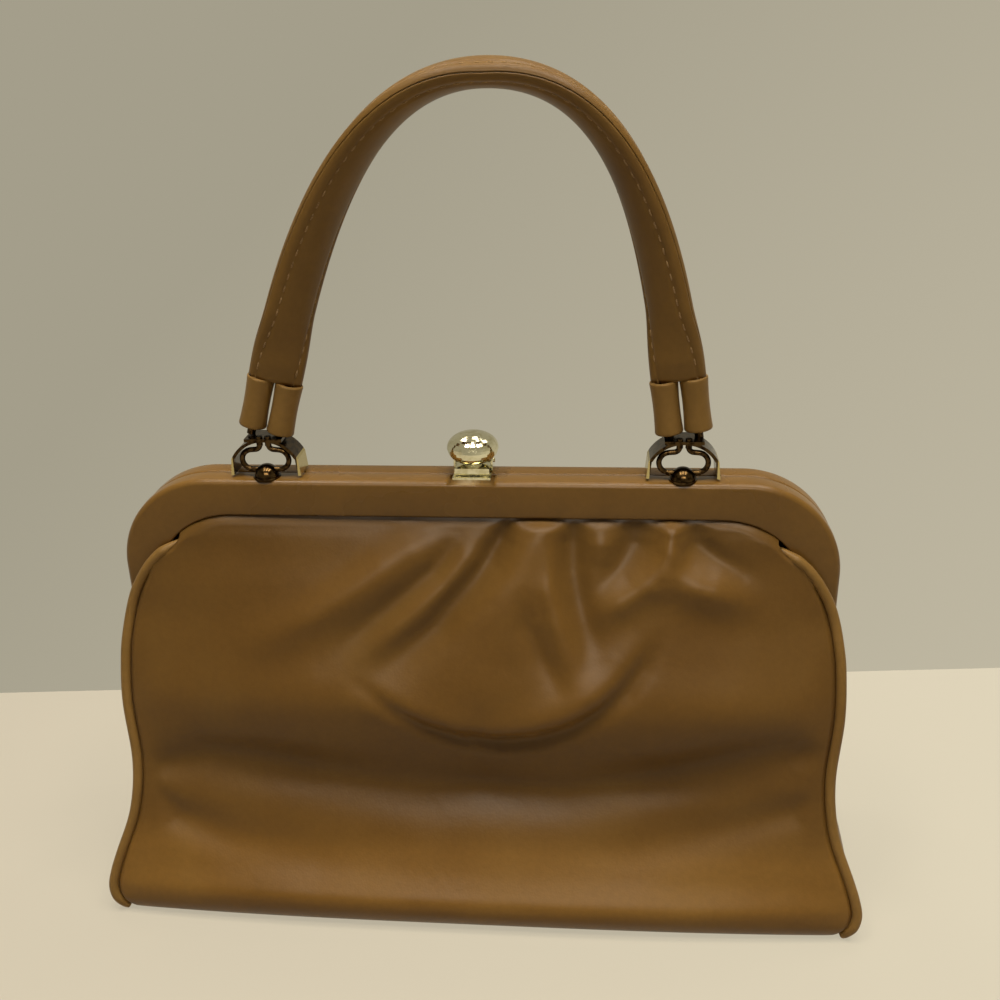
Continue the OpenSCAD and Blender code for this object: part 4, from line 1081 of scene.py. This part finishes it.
@dataclass
class FrameCovers:
    """The smooth leather over both frame halves, its face wider at the corners than on the straight parts."""

    shape: Shape
    finishes: Finishes
    edge_r: float = 2.2
    small_r: float = 0.8
    back_turn: float = 4.0
    notch_r: float = 6.3
    leg_drop: float = 4.0
    recess_hw: float = 8.4
    recess_d: float = 1.15

    def arch(self) -> tuple[np.ndarray, np.ndarray, np.ndarray]:
        """Follows the frame's outer edge from the left leg's end over the top to the right leg's.

        At each side of the recess for the catch, two places 0.04 mm apart make its step. At a corner the face
        runs in along the radius to the mouth's rounder edge.

        Returns:
            Places as x and z, directions that point inwards, and how wide the face is there.
        """
        s = self.shape
        out, high = s.corner
        leg = high - s.hinge_z + self.leg_drop
        turn = np.linspace(0, pi / 2, 49)
        right = np.concatenate([
            np.stack([np.linspace(0, out, 61)[:-1], np.full(60, s.bag_h)], -1),
            np.stack([out + s.frame_r * np.sin(turn), high + s.frame_r * np.cos(turn)], -1),
            np.stack([np.full(16, s.frame_hw), high - np.linspace(0, 1, 17)[1:] * leg], -1)])
        aim = np.concatenate([np.tile([0.0, -1.0], (60, 1)), -np.stack([np.sin(turn), np.cos(turn)], -1),
                              np.tile([-1.0, 0.0], (16, 1))])
        recess = [[self.recess_hw - 0.02, s.bag_h], [self.recess_hw + 0.02, s.bag_h]]
        right = np.concatenate([right[:1], recess, right[right[:, 0] > self.recess_hw + 0.5]])
        aim = np.concatenate([aim[:3], aim[len(aim) - (len(right) - 3):]])
        middle = np.array(s.mouth)
        gap = right - middle
        along = (gap * aim).sum(1)
        width = -along - np.sqrt(np.maximum(0, s.mouth_r**2 - (gap**2).sum(1) + along**2))
        at_corner = (gap > 0).all(1)
        width = np.where(at_corner, np.maximum(width, s.face_h), s.face_h)
        left = slice(None, 0, -1)
        places = np.concatenate([right[left] * [-1, 1], right])
        inwards = np.concatenate([aim[left] * [-1, 1], aim])
        return places, inwards, np.concatenate([width[left], width])

    def section(self, width: np.ndarray) -> np.ndarray:
        """Gives the cover's section: its lip, the face, the top, the turned back edge, then the inside.

        Args:
            width: how wide the face is at each place along the frame.

        Returns:
            For each width, rows of how far in from the outer edge, and how far from the parting plane. How
            far in is a fixed part plus a share of the width: 1 at the lip, a half mid-face, else 0.
        """
        s = self.shape
        v1, v0, t, r, small_r = s.front_v, s.part_v, s.cover_t, self.edge_r, self.small_r
        back = s.face_h - self.back_turn

        def bend(cu: float, cv: float, radius: float, a0: float, a1: float, n: int) -> np.ndarray:
            """Gives n places of a quarter round about cu and cv, from the angle a0 to a1 in degrees."""
            a = np.radians(np.linspace(a0, a1, n))
            return np.stack([cu + radius * np.cos(a), cv + radius * np.sin(a)], -1)

        parts = [
            (1.0, bend(-small_r, v1 - small_r, small_r, 0, 90, 6)),
            (1.0, [[-3.0, v1 + 0.12]]),
            (0.5, [[0.0, v1 + 0.16]]),
            (0.0, [[r + 2.4, v1 + 0.10]]),
            (0.0, bend(r, v1 - r, r, 90, 180, 12)),
            (0.0, [[-0.12, (v0 + v1) / 2]]),
            (0.0, bend(small_r, v0 + small_r, small_r, 180, 270, 6)),
            (0.0, [[back, v0], [back, v0 + t], [t, v0 + t], [t, v1 - t]]),
            (1.0, [[0.0, v1 - t]]),
        ]
        fixed = np.concatenate([rows for _, rows in parts])
        share = np.concatenate([np.full(len(rows), part) for part, rows in parts])
        far_in = fixed[:, 0] + share * width[:, None]
        return np.stack([far_in, np.broadcast_to(fixed[:, 1], far_in.shape)], -1)

    def cover(self, name: str, back: bool) -> bpy.types.Object:
        """Makes one cover. Its leg ends are cut round the hinge, and the front one is let in under the catch.

        Args:
            name: the piece's name.
            back: whether it is the rear one.

        Returns:
            The piece.
        """
        s = self.shape
        places, inwards, width = self.arch()
        flat = self.section(width)
        if not back:
            deep = (np.abs(places[:, 0]) < self.recess_hw)[:, None] & (flat[..., 1] < s.front_v - 0.3)
            flat[..., 0] = np.where(deep & (flat[..., 0] < self.recess_d), self.recess_d, flat[..., 0])
        spot = places[:, None, :] + inwards[:, None, :] * flat[..., :1]
        v = flat[..., 1]
        end = np.where(v < self.notch_r, s.hinge_z + np.sqrt(np.maximum(0, self.notch_r**2 - v**2)),
                       s.hinge_z - self.leg_drop)
        high = s.corner[1]
        drop = np.clip((high - spot[..., 1]) / (high - s.hinge_z + self.leg_drop), 0, 1)
        on_leg = (places[:, 1] <= high)[:, None]
        z = np.where(on_leg, high - drop * (high - end), spot[..., 1])
        rings = np.stack([spot[..., 0], v if back else -v, z], -1)
        verts, quads = tube(rings)
        return add_mesh(name, verts, quads, self.finishes.smooth)

    def build(self) -> None:
        """Makes both covers."""
        for word, body in (("front", Body.FRONT), ("rear", Body.REAR)):
            piece = self.cover(f"leather_frame_{word}", body is Body.REAR)
            carry(piece, body, f"frame_{word}_cover")
        LOG.info("frame covered")


# The handle


@dataclass
class Handle:
    """The padded strap in two sewn faces, its stitches, and the rolled sleeves over the stirrups' prongs."""

    shape: Shape
    finishes: Finishes
    post_span: float = 153.8
    rise: float = 144.0
    lean: float = 8.0
    strap_w: float = 22.0
    strap_end_w: float = 19.6
    strap_t: float = 10.0
    sleeve_r: float = 5.2
    sleeve_h: float = 19.5
    lean_left: float = 16.0
    lean_right: float = 8.0
    foot_z: float = 192.3
    stitch_gap: float = 4.5
    leg_turn: float = 54.0
    end_turn: float = 28.0
    leg_reach: float = 58.0
    top_left: float = 41.0
    top_right: float = 43.0
    seam_gap: float = 0.12
    rim_t: float = 1.5
    rim_r: float = 1.1
    stitch_in: float = 2.9

    def path(self, s: np.ndarray) -> tuple[np.ndarray, np.ndarray]:
        """Gives the strap's middle line: one cubic curve up the left leg to the top, and one down the right.

        Args:
            s: from -1 at the left end to 1 at the right.

        Returns:
            Places and unit directions, each with x, y and z.
        """
        seat, half, reach = self.sleeve_h + 0.05, self.post_span / 2, self.leg_reach
        lean_l, lean_r = radians(self.lean_left), radians(self.lean_right)
        left = np.array([-half + seat * sin(lean_l), self.foot_z + seat * cos(lean_l)])
        right = np.array([half - seat * sin(lean_r), self.foot_z + seat * cos(lean_r)])
        top = np.array([self.lean, self.shape.bag_h + self.rise - self.strap_t / 2])
        knots = [
            [left, left + reach * np.array([sin(lean_l), cos(lean_l)]), top - [self.top_left, 0], top],
            [top, top + [self.top_right, 0], right + reach * np.array([-sin(lean_r), cos(lean_r)]), right],
        ]
        t = np.where(s < 0, 1 + s, s)[:, None]
        k = [np.where(s[:, None] < 0, knots[0][i], knots[1][i]) for i in range(4)]
        place = (1 - t) ** 3 * k[0] + 3 * (1 - t) ** 2 * t * k[1] + 3 * (1 - t) * t * t * k[2] + t**3 * k[3]
        aim = (1 - t) ** 2 * (k[1] - k[0]) + 2 * (1 - t) * t * (k[2] - k[1]) + t * t * (k[3] - k[2])
        aim /= np.linalg.norm(aim, axis=1, keepdims=True)
        flat = np.zeros(len(s))
        return np.stack([place[:, 0], flat, place[:, 1]], -1), np.stack([aim[:, 0], flat, aim[:, 1]], -1)

    def frames(self, s: np.ndarray) -> tuple[np.ndarray, np.ndarray, np.ndarray, np.ndarray]:
        """Gives the strap's places, which way its front seam and its outer face point, and its half width.

        The section turns down each leg by the leg's turn times the distance to the power 1.1, and by the
        end's turn over the last sixth, so that it sits square on its two sleeves.

        Args:
            s: from -1 at the left end to 1 at the right.

        Returns:
            The four, one row for each s.
        """
        place, aim = self.path(s)
        out = np.stack([-aim[:, 2], np.zeros(len(s)), aim[:, 0]], -1)
        far = np.abs(s)[:, None]
        turn = radians(self.leg_turn) * far**1.1 + radians(self.end_turn) * ease((far - 0.84) / 0.16)
        seam = np.cos(turn) * [0, -1.0, 0] + np.sin(turn) * out
        face = np.cos(turn) * out + np.sin(turn) * [0, 1.0, 0]
        return place, seam, face, mix(self.strap_w, self.strap_end_w, np.abs(s)) / 2

    def height(self, a: np.ndarray, w: np.ndarray, pad: float) -> np.ndarray:
        """Gives a strap face's height over the seam plane: a rounded rim, a low arch and a dip at the thread.

        Args:
            a: places across the strap.
            w: the strap's half width.
            pad: the face's height in the middle.

        Returns:
            The heights.
        """
        from_middle = np.abs(a)
        arch = self.rim_t + (pad - self.rim_t) * (1 - np.clip(from_middle / w, 0, 1) ** 2.2)
        rim = np.sqrt(np.clip(1 - ((from_middle - (w - self.rim_r)) / self.rim_r).clip(0, 1) ** 2, 0, 1))
        return self.seam_gap + (arch - bell(from_middle, w - self.stitch_in, 0.55, 0.45)) * rim

    def strap_face(self, name: str, way: int) -> bpy.types.Object:
        """Makes one face of the strap: a crescent of 62 points, hollow for the padding, along 300 stations.

        Args:
            name: the piece's name.
            way: 1 for the outer face, -1 for the inner.

        Returns:
            The piece.
        """
        s = np.linspace(-1, 1, 300)
        place, seam, face, w = self.frames(s)
        end_from, end_thin, skin_t, hollow_w, inner_w = 0.955, 1.1, 1.7, 0.82, 0.94
        end = ease((np.abs(s) - end_from) / (1 - end_from))
        pad = (self.strap_t / 2 - self.seam_gap - end_thin * end)[:, None]
        front = np.sin(np.linspace(-pi / 2, pi / 2, 41))[None, :] * w[:, None]
        x = np.linspace(inner_w, -inner_w, 21)[None, :]
        hollow = self.seam_gap + (pad - skin_t) * np.sqrt(np.clip(1 - (x / hollow_w) ** 2, 0, 1))
        section = np.concatenate([np.stack([front, way * self.height(front, w[:, None], pad)], -1),
                                  np.stack([x * w[:, None], way * hollow], -1)], 1)
        verts, quads = tube(sweep(place, section, seam, face))
        return add_mesh(name, verts, quads, self.finishes.strap)

    def core(self, name: str) -> bpy.types.Object:
        """Makes the strap's padding: an oval felt core between the hollow backs of the two faces."""
        reach, thinner, narrower = 0.95, 2.2, 3.4
        place, seam, face, w = self.frames(np.linspace(-reach, reach, 160))
        turn = np.linspace(0, 2 * pi, 32, endpoint=False)
        across = np.cos(turn)[None, :] * (w - narrower)[:, None]
        high = (self.strap_t / 2 - thinner) * np.sin(turn)
        oval = np.stack([across, np.broadcast_to(high, across.shape)], -1)
        verts, quads = tube(sweep(place, oval, seam, face))
        return add_mesh(name, verts, quads, self.finishes.felt)

    def stitches(self, name: str, way: int) -> bpy.types.Object:
        """Makes both rows of stitches in one face: short thread capsules that dive in at each end.

        Args:
            name: the piece's name.
            way: 1 for the outer face, -1 for the inner.

        Returns:
            The piece.
        """
        place, seam, face, w = self.frames(np.linspace(-0.985, 0.985, 2400))
        height = way * (self.height(w - self.stitch_in, w, self.strap_t / 2 - self.seam_gap) + 0.12)
        steps = np.linspace(-0.37, 0.37, 5)
        sunk = np.array([0.55, 0.1, 0.0, 0.1, 0.55])[:, None]
        section = round_section(1.0, 6)[None] * np.array([0.16, 0.3, 0.33, 0.3, 0.16])[:, None, None]
        parts, faces, count = [], [], 0
        for edge in (1, -1):
            line = place + seam * (edge * (w - self.stitch_in))[:, None] + face * height[:, None]
            run = np.concatenate([[0], np.cumsum(np.linalg.norm(np.diff(line, axis=0), axis=1))])
            for i in range(int(run[-1] / self.stitch_gap)):
                at = (i + 0.5 + steps) * self.stitch_gap
                pts = np.stack([np.interp(at, run, line[:, k]) for k in range(3)], -1)
                norm = np.stack([np.interp(at, run, face[:, k]) for k in range(3)], -1) * way
                pts -= norm * sunk
                along = aims(pts)
                side = np.cross(along, norm)
                side /= np.linalg.norm(side, axis=1, keepdims=True)
                verts, quads = tube(sweep(pts, section, side, np.cross(along, side)))
                parts.append(verts)
                faces.append(quads + count)
                count += len(verts)
        return add_mesh(name, np.concatenate(parts), np.concatenate(faces), self.finishes.thread)

    def sleeve(self, name: str, side: Side, x: float, lean: float) -> bpy.types.Object:
        """Makes a sleeve: leather rolled to a waisted tube, with soft ends and a bore for its prong.

        Its radius lessens by the waist's depth times the sine of pi times the share of its height, to the
        power 0.8. Three low ridges run up it, as a sine of three times the angle.

        Args:
            name: the piece's name.
            side: left or right.
            x: how far its middle lies from the post's.
            lean: how far it leans towards the bag's middle, in degrees.

        Returns:
            The piece.
        """
        high, sides, wall_t, waist_in, ridge, bore_in = self.sleeve_h, 72, 1.9, 0.42, 0.05, 0.15
        turns = np.linspace(0, 2 * pi, sides, endpoint=False)
        end_h, end_in = np.array([0, 0, 0.12, 0.5]), np.array([0.9, 0.55, 0.18, 0.0])
        h = np.concatenate([end_h, np.linspace(1.2, high - 1.2, 22), high - end_h[::-1]])
        lip = np.concatenate([end_in, np.zeros(22), end_in[::-1]])
        waist = waist_in * np.sin(pi * np.clip(h / high, 0, 1)) ** 0.8
        outer = self.sleeve_r - lip[:, None] - waist[:, None] + ridge * np.sin(turns * 3 + 1.0)[None, :]
        bore = np.full((2, sides), self.sleeve_r - wall_t)
        wall = np.concatenate([outer, bore, outer[:1]])
        level = np.concatenate([h, [high - bore_in], [bore_in], h[:1]])
        up = np.broadcast_to(level[:, None], wall.shape)
        local = np.stack([wall * np.cos(turns), wall * np.sin(turns), up], -1).reshape(-1, 3) + [x, 0, 0]
        turn = np.array(Matrix.Rotation(radians(-side.value * lean), 3, "Y"))
        verts = local @ turn.T + [side.value * self.post_span / 2, 0, self.foot_z]
        return add_mesh(name, verts, grid_quads(len(wall), sides, ring=True), self.finishes.piping)

    def build(self) -> None:
        """Makes the strap, its stitches, its padding and the four sleeves."""
        for way, word, node in ((1, "outer", "handle_outer_leather"), (-1, "inner", "handle_inner_leather")):
            carry(self.strap_face(f"strap_{word}_face", way), Body.HANDLE, node)
            thread = self.stitches(f"strap_{word}_stitches", way)
            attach(thread, Body.HANDLE.value)
        padding = carry(self.core("strap_padding"), Body.HANDLE, "handle_core")
        for side, lean in ((Side.LEFT, self.lean_left), (Side.RIGHT, self.lean_right)):
            for x in (-1, 1):
                word = "inner" if x == -side.value else "outer"
                node = f"sleeve_{side.name.lower()}_{word}"
                piece = self.sleeve(f"rolled_{node}", side, x * (self.sleeve_r + 0.05), lean)
                carry(piece, Body.HANDLE, node)
        LOG.info("handle made")


# The rigid pieces


@dataclass
class Fittings:
    """The frame, the clasp and the handle's metal, which keep their CAD shapes and get their finishes."""

    finishes: Finishes

    def dress(self) -> None:
        """Gives each shown CAD node its material."""
        f = self.finishes
        groups = {
            f.steel: ["frame_front_core", "frame_rear_core", "frame_hinge_rivet_left",
                      "frame_hinge_rivet_right", "post_washer_left", "post_washer_right", "clasp_spring"],
            f.bright: ["clasp_catch", "catch_rivets", "clasp_bracket", "bracket_rivets", "clasp_hinge_pin",
                       "clasp_lever", "knob_cup", "knob_dome", "knob_stud"],
            f.aged: ["handle_post_left", "handle_post_right", "handle_ring_left", "handle_ring_right",
                     "stirrup_left", "stirrup_right"],
        }
        for material, names in groups.items():
            for name in names:
                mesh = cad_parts[name].data
                mesh.materials.clear()
                mesh.materials.append(material)
                LOG.info("%s dressed", name)


# The room


@dataclass
class Studio:
    """The camera at the photograph's angle, a pale table, soft lamps and the world's pale wall."""

    focal_px: float = 1080.0
    place: Place = (0.0435, -0.3733, 0.3195)
    azimuth: float = 5.16
    pitch: float = 22.48
    roll: float = -1.37
    sensor_mm: float = 36.0
    picture_px: float = 1000.0
    fill: float = 0.06
    warm: str = "#fff6e8"

    def camera(self) -> None:
        """Sets the camera: looking down by the pitch, turned by the azimuth and rolled."""
        data = bpy.data.cameras.new("camera")
        data.sensor_width = self.sensor_mm
        data.lens = self.sensor_mm * self.focal_px / self.picture_px
        data.clip_start = 0.01
        az, p, r = radians(self.azimuth), radians(self.pitch), radians(self.roll)
        ahead = np.array([-sin(az) * cos(p), cos(az) * cos(p), -sin(p)])
        right = np.cross(ahead, [0, 0, 1.0])
        right /= np.linalg.norm(right)
        up = np.cross(right, ahead)
        across, high = cos(r) * right + sin(r) * up, -sin(r) * right + cos(r) * up
        turn = np.eye(4)
        turn[:3, 0], turn[:3, 1], turn[:3, 2], turn[:3, 3] = across, high, -ahead, self.place
        made = bpy.data.objects.new("camera", data)
        made.matrix_world = Matrix(turn.tolist())
        bpy.context.scene.collection.objects.link(made)
        bpy.context.scene.camera = made

    def sheet(self, name: str, corners: list[Place], material: bpy.types.Material) -> None:
        """Makes a flat stage piece.

        Args:
            name: the piece's name.
            corners: its four corners in metres.
            material: its paint.
        """
        mesh = bpy.data.meshes.new(name)
        mesh.from_pydata(corners, [], [(0, 1, 2, 3)])
        mesh.materials.append(material)
        made = bpy.data.objects.new(name, mesh)
        bpy.context.scene.collection.objects.link(made)

    def lamp(self, name: str, place: Place, target: Place, size: tuple[float, float], watts: float,
             colour: str) -> bpy.types.Object:
        """Adds a soft rectangular lamp.

        Args:
            name: the lamp's name.
            place: where it hangs, in metres.
            target: the place it points at.
            size: its width and height.
            watts: its power.
            colour: its colour as a hex value.

        Returns:
            The lamp.
        """
        data = bpy.data.lights.new(name, "AREA")
        data.shape = "RECTANGLE"
        data.size, data.size_y = size
        data.energy = watts
        data.color = linear(colour)[:3]
        made = bpy.data.objects.new(name, data)
        made.location = place
        made.rotation_euler = (Vector(target) - Vector(place)).to_track_quat("-Z", "Y").to_euler()
        bpy.context.scene.collection.objects.link(made)
        return made

    def room(self) -> bpy.types.World:
        """Makes the world: a dim fill, and a pale wall that the camera, mirrors and glass see.

        The wall's painted light grows brighter to the right and downwards, by 0.9 times the direction's x
        less 0.9 times its z.

        Returns:
            The world.
        """
        world = bpy.data.worlds.new("room")
        world.use_nodes = True
        tree = world.node_tree
        tree.nodes.clear()
        way = add(tree, "SeparateXYZ", Vector=add(tree, "TexCoord").outputs["Generated"]).outputs
        # painted light: the wall brightens to the right and downwards
        slope = add(tree, "Math", {"operation": "SUBTRACT"}, n0=way["X"], n1=way["Z"])
        share = add(tree, "Math", {"operation": "MULTIPLY_ADD", 1: 0.9, 2: 0.15}, n0=slope)
        wall = add(tree, "ValToRGB", None, ((0.0, "#a49e8b"), (1.0, "#c1b9a3")), Fac=share)
        fill = add(tree, "Background", {"Color": linear("#e8e2d6"), "Strength": self.fill})
        seen = add(tree, "Background", Color=wall)
        both = add(tree, "MixShader", Fac=looked_at(tree), n1=fill, n2=seen)
        add(tree, "OutputWorld", Surface=both)
        return world

    def build(self) -> None:
        """Makes the table, the lamps, the room and the camera."""
        table = PlainPaint("pale_table_top", "#b8b09d", "#ddd1b9", "#f2e9cf", 0.6).make()
        half, front_y, back_y, slope = 1.6, -1.2, 0.137, 0.0925
        corners = [(-half, front_y, 0.0), (half, front_y, 0.0), (half, back_y + slope * half, 0.0),
                   (-half, back_y - slope * half, 0.0)]
        self.sheet("stage_table", corners, table)
        over = [(-0.45, -0.5), (0.05, -0.52), (0.55, -0.5), (-0.4, -0.12), (0.1, -0.12), (0.6, -0.12)]
        for i, (x, y) in enumerate(over):
            self.lamp(f"lamp_{i}", (x, y, 1.5), (0.0, -0.02, 0.1), (0.3, 0.3), 4.3, self.warm)
        for i, x in enumerate((-0.45, 0.1, 0.6)):
            self.lamp(f"lamp_rear_{i}", (x, 0.55, 1.35), (0.0, 0.03, 0.1), (0.35, 0.35), 2.0, self.warm)
        front = self.lamp("lamp_front", (0.1, -1.7, 1.25), (0.0, -0.04, 0.05), (1.3, 0.5), 20.0, "#fff4e2")
        front.visible_diffuse = False
        bpy.context.scene.world = self.room()
        bpy.context.scene.view_settings.view_transform = "Standard"
        self.camera()
        LOG.info("studio made")


def main() -> None:
    """Builds each sub-assembly in order and reports it."""
    logging.basicConfig(level=logging.INFO, format="%(message)s")
    shape, finishes = Shape(), Finishes()
    Studio().build()
    SoftBody(shape, finishes).build()
    FrameCovers(shape, finishes).build()
    Handle(shape, finishes).build()
    Fittings(finishes).dress()


if __name__ == "__main__":
    main()
